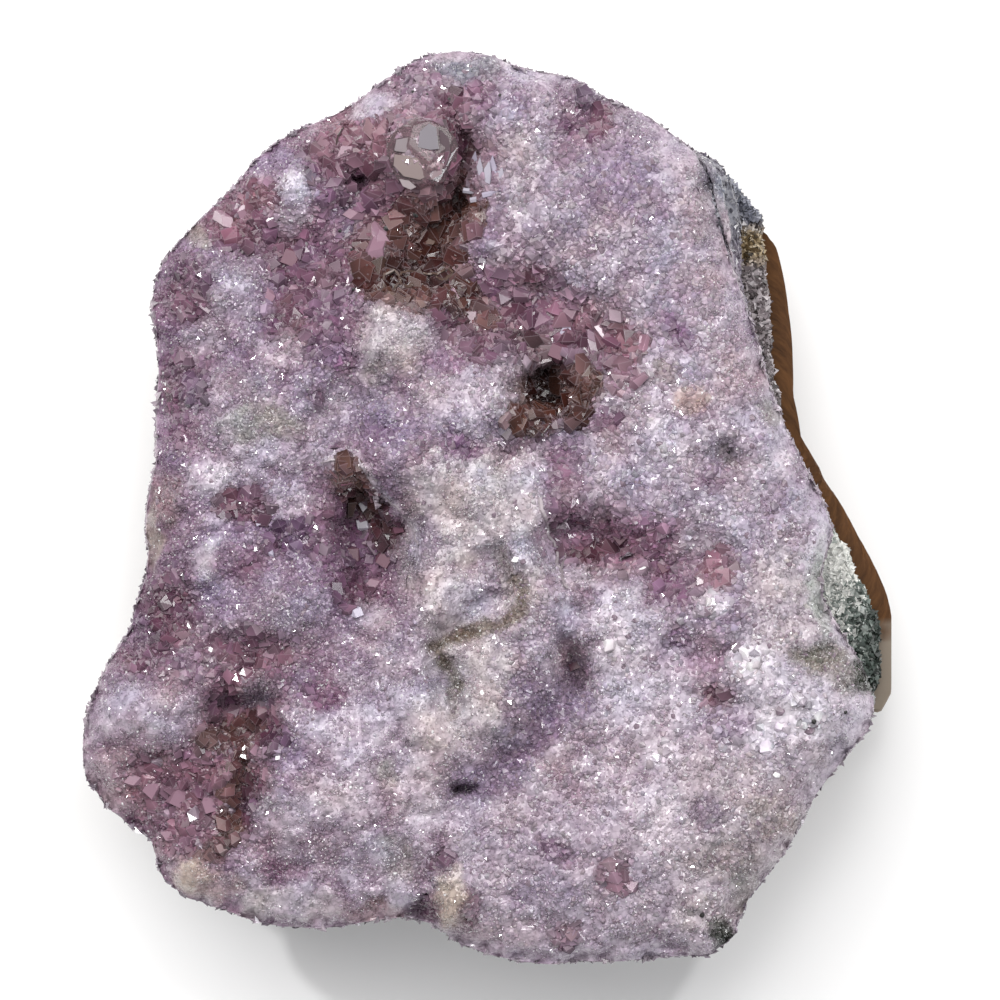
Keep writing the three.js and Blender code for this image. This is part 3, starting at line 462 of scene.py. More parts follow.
    ("violet", -19.8, -25.5, 1.6, 2.4, 0, 0.7), ("white", -5.8, -30.8, 1.6, 1.4, 0, 0.8),
    ("white", -7.4, -27.0, 1.7, 1.6, 0, 0.8), ("white", -15.1, -28.8, 2.0, 1.6, 0, 0.8),
    ("pale", -13.6, -22.0, 4.0, 2.6, 0, 0.7), ("mauve", -16.6, -18.8, 2.2, 1.3, 0, 0.9),
    ("green", -10.2, -26.5, 1.1, 1.4, 0, 0.7), ("lilac", -15.8, -34.5, 4.6, 1.6, 0, 0.7),
    ("mauve", -20.6, -36.3, 2.6, 1.1, 0, 0.6), ("green", -9.2, -35.1, 1.6, 1.8, 0, 0.6),
    ("cream", -18.8, -39.7, 4.4, 1.4, 0, 0.7), ("green", -23.4, -39.9, 1.4, 1.2, 0, 0.5),
    ("rose", -10.8, -40.5, 2.8, 0.9, 0, 0.35), ("peach", -10.8, -40.6, 2.4, 1.0, 0, 0.4),
    ("plum", -6.2, -40.1, 1.4, 0.9, 0, 0.9), ("plum", -4.4, -35.3, 1.0, 0.9, 0, 0.9),
    ("beige", -3.7, -39.1, 1.4, 2.8, 0, 1), ("wine", -1.6, -40.1, 0.8, 1.8, 0, 0.5),
    # the lower right
    ("pit", -3.2, -28.1, 0.65, 0.6, 0, 1), ("violet", -0.2, -27.3, 2.6, 1.6, 0, 0.8),
    ("plum", 2.8, -24.9, 0.9, 0.8, 0, 0.9), ("mauve", 5.2, -22.3, 1.4, 2.0, -35, 0.8),
    ("violet", 3.8, -19.3, 1.8, 3.4, -20, 0.6), ("tan", 28.4, -30.9, 2.6, 2.0, 0, 0.45),
    ("tan", 24.0, -35.4, 3.4, 1.6, 0, 0.35), ("green", 26.2, -38.5, 1.8, 2.0, 0, 0.8),
    ("moss", 23.6, -42.4, 0.7, 1.5, -15, 1), ("slate", 20.8, -40.6, 0.7, 0.5, 0, 0.7),
    ("cream", 21.4, -40.7, 2.4, 1.6, 0, 0.7), ("white", 17.4, -31.5, 2.4, 3.4, 0, 0.7),
    ("mauve", 6.8, -34.3, 2.2, 1.0, -35, 0.6), ("rose", 12.8, -36.7, 1.6, 1.9, 0, 0.6),
    ("pale", 15.9, -36.3, 1.4, 1.4, 0, 0.7), ("wine", 8.0, -42.9, 1.4, 0.8, 0, 0.6),
    ("pink", 1.6, -42.5, 3.6, 1.2, 0, 0.5), ("violet", 6.0, -38.7, 3.0, 1.8, 0, 0.3),
]
# kind, course, half width, strength
TRAILS = [
    # the zigzag groove in the pale ridge, and the pale lips beside the hollows
    ("tan", [(1.4, -4.8), (1.9, -6.6), (3.0, -7.8)], 0.9, 0.6),
    ("groove", [(2.6, -7.2), (3.6, -8.4), (3.4, -10.4), (1.2, -11.7), (-1.8, -12.4), (-3.6, -13.3),
                (-5.5, -13.8)], 0.65, 0.85),
    ("groove", [(-5.5, -13.8), (-4.8, -15.2), (-3.8, -16.3), (-2.7, -17.5), (-3.5, -18.8)], 0.6, 0.9),
    ("tan", [(-3.5, -18.8), (-3.4, -20.8)], 0.6, 0.8),
    ("white", [(-16.7, 4.4), (-13.2, 5.4), (-10.6, 1.6), (-7.3, -2.2), (-6.6, -6.0)], 0.45, 0.8),
    ("white", [(5.1, 0.5), (7.0, -6.5), (7.9, -10.1)], 0.8, 0.7),
    # the brown channel at the top, and the purple trail that runs up from the black pit
    ("brown", [(-2.2, 35.2), (-3.1, 30.3), (-4.5, 27.9), (-6.1, 24.1), (-8.4, 22.5)], 1.3, 0.9),
    ("wine", [(-3.3, 40.7), (-2.3, 34.7)], 1.0, 0.8),
    ("violet", [(-3.0, -28.1), (1.2, -27.4), (2.8, -24.7), (5.0, -22.2), (8.7, -16.3)], 1.6, 0.7),
]
PLACE_GROWTH = 1.2
WASH_STEEPNESS = 1.5
PLACE_STEEPNESS = 3.2
TRAIL_STEEPNESS = 4
WARPS = [(2.6, 0.9), (1.0, 0.45)]
RAGGED_SIZE = 0.9
RAGGED_REACH = 0.5
LUMP_SIZES = (4.6, 2.0)
LUMP_SHARE = (0.5, 0.35)
LUMP_RISE = (0.6, 0.3)
LUMP_SLOPE = 1.8
PURPLE_SHARE = 0.6
PURPLE_DRIFT = 0.6
PURPLE_SIZE = 3.4
PURPLE_DEPTH = 0.8
PALER_RIGHT = 0.14
PALER_MIDDLE = -12
PALER_WIDTH = 24
PALER_CORNER = (20, 36)
SEED_STEPS = (17.3, 7.1, 3.7)
LUMP_SEED_STEP = 5.3
BLOTCHES = [(1.3, 0.07), (2.6, 0.025), (4.6, 0.03)]
BLOTCH_TINTS = [(0.9, 1.1, 0.9), (1.0, 0.2, -0.4), (-0.2, 0.4, 1.0)]
CALM_SHARE = [(10, 1), (45, 0.5)]
BED_BAND = 3.5
BED_FOOT = 14
BED_UPWARD = (0.12, 0.45)


def to_linear(colour):
    return np.where(colour <= 0.04045, colour / 12.92, ((colour + 0.055) / 1.055) ** 2.4)


def ramp(values, start, end):
    """0 at the start and before it, rising evenly to 1 at the end."""
    return np.clip((values - start) / (end - start), 0, 1)


def towards(values, target, share):
    """Rows of values moved towards a target, each by its own share."""
    return values + (target - values) * share[:, None]


def mottle(x, y, size, seed):
    offset = Vector([seed * step for step in SEED_STEPS])
    return np.array([noise.noise(Vector((a / size, b / size, 0)) + offset) for a, b in zip(x, y)])


def warp(x, y):
    """Bends straight and round outlines into ragged ones."""
    bent_x, bent_y = x.copy(), y.copy()
    for i, (size, reach) in enumerate(WARPS):
        bent_x += reach * mottle(x, y, size, seed=3 + i)
        bent_y += reach * mottle(x, y, size, seed=13 + i)
    return bent_x, bent_y


def lump_at(x, y, size, seed):
    """1 on the middle of a round lump of this size, falling to 0 in the valleys between lumps."""
    near = [noise.voronoi(Vector((a / size, b / size, seed * LUMP_SEED_STEP)))[0] for a, b in zip(x, y)]
    gap = np.array([second - first for first, second, *_ in near])
    return np.clip(gap * LUMP_SLOPE, 0, 1)


def crust_zones(x, y):
    """The crust's colour, rise and crystal radius at each place."""
    bent_x, bent_y = warp(x, y)
    lumps = [lump_at(bent_x, bent_y, size, i) for i, size in enumerate(LUMP_SIZES)]
    share = PURPLE_SHARE + PURPLE_DRIFT * mottle(x, y, PURPLE_SIZE, seed=1)
    share = share - sum(part * lump for part, lump in zip(LUMP_SHARE, lumps))
    across = np.clip((x - PALER_MIDDLE) / PALER_WIDTH, -1, 1)
    share = np.clip(share - PALER_RIGHT * (across + ramp(x - y, *PALER_CORNER)), 0, 1)[:, None]
    named = {key: np.array([*colour, rise, radius]) for key, (colour, rise, radius) in KINDS.items()}
    values = named["pale"] + (named["mauve"] - named["pale"]) * share * PURPLE_DEPTH
    ragged = 1 + RAGGED_REACH * mottle(x, y, RAGGED_SIZE, seed=5)
    for rows, steepness in ((WASHES, WASH_STEEPNESS), (PLACES, PLACE_STEEPNESS)):
        for key, centre_x, centre_y, half_width, half_length, turn, strength in rows:
            size = (half_width * PLACE_GROWTH, half_length * PLACE_GROWTH)
            cover = mound(bent_x, bent_y, (centre_x, centre_y, *size, turn, strength, steepness))
            values = towards(values, named[key], np.clip(cover * ragged, 0, 1))
    for key, points, half, strength in TRAILS:
        far = distance_to_run((x + bent_x) / 2, (y + bent_y) / 2, points) / half
        cover = strength * np.exp(-(far ** TRAIL_STEEPNESS))
        values = towards(values, named[key], np.clip(cover * ragged, 0, 1))
    calm = np.interp(x - y, *zip(*CALM_SHARE))[:, None]
    for (size, reach), tint_shift in zip(BLOTCHES, BLOTCH_TINTS):
        blotches = mottle(x, y, size, seed=round(size * 10))[:, None]
        values[:, :3] += calm * reach * blotches * np.array(tint_shift)
    values[:, 3] += sum(rise * (lump - 0.5) for rise, lump in zip(LUMP_RISE, lumps))
    return values


def store(mesh, name, kind, domain, key, values):
    layer = mesh.attributes.new(name, kind, domain)
    layer.data.foreach_set(key, values.astype(np.float32).ravel())


def paint(mesh, colours):
    opaque = np.hstack([colours, np.ones((len(colours), 1))])
    store(mesh, "tint", "FLOAT_COLOR", "POINT", "color", opaque)


def surface_height(x, y):
    zones = crust_zones(x, y)
    return crust_height(*warp(x, y), LUMPS + HOLLOWS) + zones[:, 3], zones


bed_x, bed_y, bed_z = bed_points.T
fine_height, zones = surface_height(bed_x, bed_y)
bed_tint = to_linear(zones[:, :3])
bed_grain = zones[:, 4]
solid_height = crust_height(bed_x, bed_y, LUMPS + HOLLOWS + small_mounds())
upper = ramp(bed_z, BED_FOOT, solid_height) ** 2
facing = ramp(bed_normals[:, 2], *BED_UPWARD)
facing *= np.abs(bed_z - solid_height) < BED_BAND
bed_points[:, 2] += upper * (fine_height - solid_height) - facing * (bed_z - solid_height)
bed_points = np.clip(bed_points, BOX_LOW, BOX_HIGH)
move_points(bed_mesh, bed_points)
bed_normals = read_vectors(bed_mesh.vertex_normals, "vector")

# The bed is milky quartz of fine grains that tilt each its own way and meet in faint lines. On its broken
# side it is grey-blue at the foot, then clear, and purple only near the crystals, with a grey stain at
# the upper right and a dark green one beside the low patch of matrix.
# BED_SHADE darkens all the bed's colours, partly as painted shade where the bed shows in the gaps below the
# crystals.
BED_SHADE = 0.82
BED_ROUGHNESS = 0.22
QUARTZ_IOR = 1.54
FLANK_LEVELS = (12, 16, 20, 25)
FLANK_COLOURS = [(0.50, 0.50, 0.55), (0.62, 0.60, 0.66), (0.56, 0.51, 0.58), (0.70, 0.65, 0.69)]
FLANK_DRIFT = 1.2
FLANK_DRIFT_SIZE = 2.5
FLANK_STAINS = [((25, 31), 5, (0.43, 0.43, 0.47)), ((38.8, -17.4), 2.2, (0.20, 0.22, 0.19))]
STAIN_CORE = 1.5
STAIN_DRIFT = 1.6
STAIN_DRIFT_SIZE = 1.6
GRAIN_TILTS = [(2400, 0.6), (1000, 0.3)]
LINE_SCALE = 1300
LINE_WIDTH = 0.15
LINE_SHADE = 0.8


def flank_tint(points):
    x, y, z = points.T
    bands = z + FLANK_DRIFT * mottle(x + y, z, FLANK_DRIFT_SIZE, seed=8)
    tint = np.column_stack([np.interp(bands, FLANK_LEVELS, channel) for channel in zip(*FLANK_COLOURS)])
    for middle, radius, colour in FLANK_STAINS:
        far = np.hypot(x - middle[0], y - middle[1])
        far += STAIN_DRIFT * mottle(x - y, z, STAIN_DRIFT_SIZE, seed=9)
        tint = towards(tint, np.array(colour), np.clip(STAIN_CORE - far / radius, 0, 1))
    return to_linear(tint)


paint(bed_mesh, towards(flank_tint(bed_points), bed_tint, np.clip(facing * 2, 0, 1)) * BED_SHADE)


def add_node(tree, kind, inputs, **settings):
    """Adds a shader node with its inputs filled, and returns its outputs."""
    node = tree.nodes.new("ShaderNode" + kind)
    for key, value in settings.items():
        setattr(node, key, value)
    fill(node, inputs)
    return node.outputs


bed_material, tree, shader = make_material("milky_quartz")
place = add_node(tree, "TexCoord", {})["Object"]
edges = add_node(tree, "TexVoronoi", {"Vector": place, "Scale": LINE_SCALE}, feature="DISTANCE_TO_EDGE")
lines = add_node(tree, "MapRange", {"Value": edges["Distance"], "From Max": LINE_WIDTH, "To Min": LINE_SHADE})
tint = add_node(tree, "Attribute", {}, attribute_name="tint")["Color"]
shaded = add_node(tree, "VectorMath", {0: tint, "Scale": lines["Result"]}, operation="SCALE")
normal = add_node(tree, "NewGeometry", {})["Normal"]
for scale, tilt in GRAIN_TILTS:
    grains = add_node(tree, "TexVoronoi", {"Vector": place, "Scale": scale})
    centred = add_node(tree, "VectorMath", {0: grains["Color"], 1: (0.5, 0.5, 0.5)}, operation="SUBTRACT")
    tilted = add_node(tree, "VectorMath", {0: centred["Vector"], "Scale": tilt}, operation="SCALE")
    normal = add_node(tree, "VectorMath", {0: normal, 1: tilted["Vector"]}, operation="ADD")["Vector"]
unit = add_node(tree, "VectorMath", {0: normal}, operation="NORMALIZE")
fill(shader, {"Base Color": shaded["Vector"], "Normal": unit["Vector"]})
fill(shader, {"Roughness": BED_ROUGHNESS, "IOR": QUARTZ_IOR})
crust_bed = mesh_object("crust_bed", bed_mesh, bed_material)
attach(crust_bed, "root")
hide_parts("amethyst_crust")

# The druse: quartz points under a millimetre that cover the whole face and catch the light. The pale parts
# carry a sugar of three-sided points, the purple parts six-sided ones and larger crystals. Each one is a
# closed body with its foot in the bed.
SUGAR_PIECES = 2
SUGAR_COUNT = 45000
SUGAR_SEED = 100
SUGAR_LIMIT = 0.30
SUGAR_CROWDING = 1.5
SUGAR_FADE = (0.62, 0.32)
SUGAR_LEAST = 0.05
DRUSE_PIECES = 2
DRUSE_COUNT = 14000
DRUSE_SEED = 121
DRUSE_LIMIT = 0.4
DRUSE_CROWDING = 1.2
HOLLOW_COUNT = 3000
HOLLOW_SEED = 132
LARGE_COUNT = 1300
LARGE_SEED = 131
DEEP_GRAIN = (0.36, 0.56)
DEEP_CROWDING = 1.2
CRYSTAL_LIMIT = 1.9
OPEN_FACING = 0.3
FOG_LIGHTNESS = (0.52, 0.68)
FOG_SIZE = 1.6
FOG_RAGGED = 0.9
FOG_COVER = 0.93
TINT_SPREAD = 0.025
RIM_SIZES = (0.22, 1.0)
RIM_REACH = 3.0
# Painted glints: a random share of the crystals is painted near white when small, and pale when middle-sized,
# as painted highlights of faces that catch the light.
GLINT_SHARE = 0.06
GLINT_LIMIT = 0.28
GLINT_COLOUR = (0.95, 0.92, 0.96)
PAINTED_LIT_FACET = (0.26, 0.19, 0.24)
LIT_FACET_LIMIT = 1.0
FLAT_ANGLE = 0.02
# Painted highlights: pale lines along the edges where two faces of a crystal meet.
EDGE_HIGHLIGHT_COLOUR = (0.60, 0.52, 0.58)
EDGE_HIGHLIGHT_STRENGTH = 0.2
POINT_FOOT = 0.5
SHAFT_FOOT = -1.2
SHOULDERS = (-0.3, 0.35)
NARROWEST = 0.75
TIP_LEVEL = 0.9
TIP_SHIFT = 0.4
# Painted shade and light on each crystal: darkest at its foot in the gaps between crystals, lightest at its
# tip.
PAINTED_FOOT_SHADE_TIP_LIGHT = (0.5, 0.85, 1.2)


def finish_prototype(bm, name):
    """Triangles, each corner with its shares of the three, so that a material can find the real edges."""
    bmesh.ops.triangulate(bm, faces=bm.faces)
    bmesh.ops.recalc_face_normals(bm, faces=bm.faces)
    layer = bm.loops.layers.float_color.new("edge")
    for face in bm.faces:
        flat = [face.loops[(k + 1) % 3].edge.calc_face_angle() < FLAT_ANGLE for k in range(3)]
        for k, loop in enumerate(face.loops):
            loop[layer] = (*[1.0 if k == m or flat[m] else 0.0 for m in range(3)], 1)
    return mesh_from(bm, name)


def pointed_prototype(sides):
    """A closed point of radius 1 and height 1, with its foot below the bed."""
    bm = bmesh.new()
    bmesh.ops.create_cone(bm, cap_ends=True, segments=sides, radius1=1, radius2=0, depth=1 + POINT_FOOT)
    bmesh.ops.translate(bm, verts=bm.verts, vec=(0, 0, (1 - POINT_FOOT) / 2))
    return finish_prototype(bm, f"point_{sides}")


def three_faced_crystal():
    """A six-sided shaft of radius 1 with three large slanting faces that meet in a point at height 1."""
    bm = bmesh.new()
    foot = []
    shoulder = []
    for i in range(6):
        angle = math.pi * i / 3
        foot.append(bm.verts.new((math.cos(angle), math.sin(angle), SHAFT_FOOT)))
        shoulder.append(bm.verts.new((math.cos(angle), math.sin(angle), SHOULDERS[i % 2])))
    tip = bm.verts.new((0, 0, 1))
    bm.faces.new(foot[::-1])
    for i in range(6):
        bm.faces.new((foot[i], foot[(i + 1) % 6], shoulder[(i + 1) % 6], shoulder[i]))
    for i in (0, 2, 4):
        bm.faces.new((shoulder[i - 1], shoulder[i], shoulder[i + 1], tip))
    return finish_prototype(bm, "three_faced_crystal")


def corner_table(mesh, points):
    """The three corners of each triangle of a skin, and its area."""
    mesh.calc_loop_triangles()
    corners = np.empty(len(mesh.loop_triangles) * 3, dtype=np.int32)
    mesh.loop_triangles.foreach_get("vertices", corners)
    corners = corners.reshape(-1, 3)
    first, second, third = points[corners].transpose(1, 0, 2)
    return corners, np.linalg.norm(np.cross(second - first, third - first), axis=1) / 2


def scatter(corners, chance, count, rng):
    """Random places on a skin: the corners of their triangles, and how much each corner counts."""
    chosen = rng.choice(len(chance), size=count, p=chance / chance.sum())
    return corners[chosen], rng.dirichlet((1, 1, 1), count)


def blend(values, corners, shares):
    return (values[corners] * shares[..., None]).sum(axis=1)


def leaning(normals, amount, rng):
    axes = normals / np.linalg.norm(normals, axis=1)[:, None] + rng.normal(scale=amount, size=normals.shape)
    return axes / np.linalg.norm(axes, axis=1)[:, None]


def grow(name, prototype, places, axes, radii, tallness, tints, material, rng):
    """One mesh of many crystals, each a turned, sized and coloured copy of the prototype."""
    shape = read_vectors(prototype.vertices, "co")
    faces = [tuple(face.vertices) for face in prototype.polygons]
    count = len(places)
    side = np.cross(axes, rng.normal(size=(count, 3)))
    side /= np.linalg.norm(side, axis=1)[:, None]
    other = np.cross(axes, side)
    local = np.repeat(shape[None], count, axis=0) * radii[:, None, None]
    local[:, :, 2] *= rng.uniform(*tallness, (count, 1))
    local[:, :, 0] *= rng.uniform(NARROWEST, 1.0, (count, 1))
    tip_shift = rng.uniform(-TIP_SHIFT, TIP_SHIFT, (count, 2)) * radii[:, None]
    local[:, shape[:, 2] > TIP_LEVEL, :2] += tip_shift[:, None]
    placed = (
        places[:, None]
        + local[:, :, 0:1] * side[:, None]
        + local[:, :, 1:2] * other[:, None]
        + local[:, :, 2:3] * axes[:, None]
    )
    placed = np.clip(placed, BOX_LOW, BOX_HIGH)
    sizes = np.array([len(face) for face in faces])
    loops = np.concatenate([np.array(face) for face in faces])
    all_loops = (loops[None] + len(shape) * np.arange(count)[:, None]).ravel()
    starts = np.concatenate([[0], np.cumsum(np.tile(sizes, count))[:-1]])
    mesh = bpy.data.meshes.new(name)
    mesh.vertices.add(count * len(shape))
    mesh.vertices.foreach_set("co", (placed * MM).astype(np.float32).ravel())
    mesh.loops.add(len(all_loops))
    mesh.loops.foreach_set("vertex_index", all_loops.astype(np.int32))
    mesh.polygons.add(count * len(faces))
    mesh.polygons.foreach_set("loop_start", starts.astype(np.int32))
    mesh.update(calc_edges=True)
    mesh.shade_flat()
    # painted shade at each crystal's foot and painted light at its tip, by the height of each corner
    shading = np.interp(shape[:, 2], (SHAFT_FOOT, 0, 1), PAINTED_FOOT_SHADE_TIP_LIGHT)
    paint(mesh, np.clip(tints[:, None] * shading[None, :, None], 0, 1).reshape(-1, 3))
    corner_edges = np.empty(len(loops) * 4, dtype=np.float32)
    prototype.attributes["edge"].data.foreach_get("color", corner_edges)
    store(mesh, "edge", "FLOAT_COLOR", "CORNER", "color", np.tile(corner_edges, count))
    piece = mesh_object(name, mesh, material)
    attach(piece, "root")


def crystal_material(name, roughness, clearness, edge_width=0, shine=0.5):
    """Glassy quartz in the tint of its place, with pale lines where two faces of a crystal meet, as painted
    highlights on the edges.
    """
    material, tree, shader = make_material(name)
    colour = add_node(tree, "Attribute", {}, attribute_name="tint")["Color"]
    if edge_width:
        edge = add_node(tree, "Attribute", {}, attribute_name="edge")["Vector"]
        parts = add_node(tree, "SeparateXYZ", {"Vector": edge})
        lower = add_node(tree, "Math", {0: parts["X"], 1: parts["Y"]}, operation="MINIMUM")
        least = add_node(tree, "Math", {0: lower["Value"], 1: parts["Z"]}, operation="MINIMUM")
        line = add_node(tree, "MapRange", {"Value": least["Value"], "From Max": edge_width,
                                           "To Min": EDGE_HIGHLIGHT_STRENGTH, "To Max": 0})
        lined = {"Factor": line["Result"], "A": colour, "B": (*EDGE_HIGHLIGHT_COLOUR, 1)}
        colour = add_node(tree, "Mix", lined, data_type="RGBA")["Result"]
    fill(shader, {"Base Color": colour, "Roughness": roughness, "IOR": QUARTZ_IOR})
    fill(shader, {"Transmission Weight": clearness, "Specular IOR Level": shine})
    return material


def sow(name, prototype, count, weight, material, seed, lean, sizes, tallness, shades):
    """Crystals of one kind over the crust's face, sized and coloured by the place they grow at."""
    corners, shares = scatter(bed_corners, bed_areas * bed_open * weight, count, np.random.default_rng(seed))
    rng = np.random.default_rng(seed)
    radii = blend(bed_grain[:, None], corners, shares)[:, 0] * rng.uniform(*sizes, count)
    places = blend(bed_points, corners, shares)
    inside = -beyond_crust(places[:, 0], places[:, 1])
    radii = np.minimum(radii, CRYSTAL_LIMIT) * np.interp(inside, (0, RIM_REACH), RIM_SIZES)
    tints = blend(bed_tint, corners, shares) * rng.uniform(*shades, (count, 1))
    tints = np.clip(tints * rng.normal(1, TINT_SPREAD, (count, 3)), 0, 1)
    # painted glints and painted highlights: a random share of crystals gets a near-white or pale tint
    glint_pick = rng.random(count) < GLINT_SHARE
    tints[glint_pick & (radii < GLINT_LIMIT)] = GLINT_COLOUR
    tints[glint_pick & (radii >= GLINT_LIMIT) & (radii < LIT_FACET_LIMIT)] = PAINTED_LIT_FACET
    axes = leaning(blend(bed_normals, corners, shares), lean, rng)
    grow(name, prototype, places, axes, radii, tallness, tints, material, rng)


bed_corners, bed_areas = corner_table(bed_mesh, bed_points)
bed_open = (facing[bed_corners] > OPEN_FACING).all(axis=1)
corner_grain = bed_grain[bed_corners].mean(axis=1)
fog = ramp(zones[:, :3].mean(axis=1), *FOG_LIGHTNESS)
fog = np.clip(fog + FOG_RAGGED * mottle(bed_x, bed_y, FOG_SIZE, seed=41), 0, 1)
corner_clear = 1 - FOG_COVER * fog[bed_corners].mean(axis=1)

sugar_material = crystal_material("sugar_quartz", roughness=0.05, clearness=0.35)
druse_material = crystal_material("fine_druse", roughness=0.1, clearness=0.4, edge_width=0.1)
hollow_material = crystal_material("purple_crystal", roughness=0.12, clearness=0.4, edge_width=0.05,
                                   shine=0.2)
three_sided = pointed_prototype(3)
six_sided = pointed_prototype(6)
three_faced = three_faced_crystal()
fine_weight = corner_clear * np.maximum(ramp(corner_grain, *SUGAR_FADE), SUGAR_LEAST)
sugar_weight = fine_weight * np.minimum(corner_grain, SUGAR_LIMIT) ** -SUGAR_CROWDING
druse_weight = corner_clear * np.minimum(corner_grain, DRUSE_LIMIT) ** -DRUSE_CROWDING
deep_weight = ramp(corner_grain, *DEEP_GRAIN) ** DEEP_CROWDING
for index in range(SUGAR_PIECES):
    sow(f"sugar_{index + 1}", three_sided, SUGAR_COUNT, sugar_weight, sugar_material, SUGAR_SEED + index,
        lean=0.35, sizes=(0.5, 1.2), tallness=(0.45, 0.9), shades=(0.78, 1.3))
for index in range(DRUSE_PIECES):
    sow(f"druse_{index + 1}", six_sided, DRUSE_COUNT, druse_weight, druse_material, DRUSE_SEED + index,
        lean=0.25, sizes=(0.9, 2.4), tallness=(0.3, 0.6), shades=(0.68, 1.3))
sow("large_facets", three_faced, LARGE_COUNT, deep_weight, hollow_material, LARGE_SEED,
    lean=0.35, sizes=(1.3, 2.6), tallness=(0.35, 0.6), shades=(0.6, 1.45))
sow("hollow_crystals", three_faced, HOLLOW_COUNT, deep_weight, hollow_material, HOLLOW_SEED,
    lean=0.3, sizes=(0.5, 1.5), tallness=(0.55, 1.0), shades=(0.5, 1.55))

# The broken side of the crust shows the crystals snapped across, as rough glassy faces without points.
# They are low three-sided chips in the side's own colours, set close on what doesn't face up or down.
FLANK_COUNT = 9000
FLANK_SEED = 131
FLANK_SIZE = (0.3, 0.7)
FLANK_TALLNESS = (0.15, 0.4)
FLANK_SHADES = (0.6, 1.3)
FLANK_LEAN = 0.4
FLANK_FACING = 0.5
LOWEST_SIDE = -0.5

bed_upward = bed_normals[bed_corners][:, :, 2].mean(axis=1)
broken = (facing[bed_corners].max(axis=1) < FLANK_FACING) & (bed_upward > LOWEST_SIDE)
corners, shares = scatter(bed_corners, bed_areas * broken, FLANK_COUNT, np.random.default_rng(FLANK_SEED))
rng = np.random.default_rng(FLANK_SEED)
places = blend(bed_points, corners, shares)
axes = leaning(blend(bed_normals, corners, shares), FLANK_LEAN, rng)
radii = rng.uniform(*FLANK_SIZE, FLANK_COUNT)
tints = np.clip(flank_tint(places) * rng.uniform(*FLANK_SHADES, (FLANK_COUNT, 1)), 0, 1)
grow("flank_crystals", three_sided, places, axes, radii, FLANK_TALLNESS, tints, druse_material, rng)

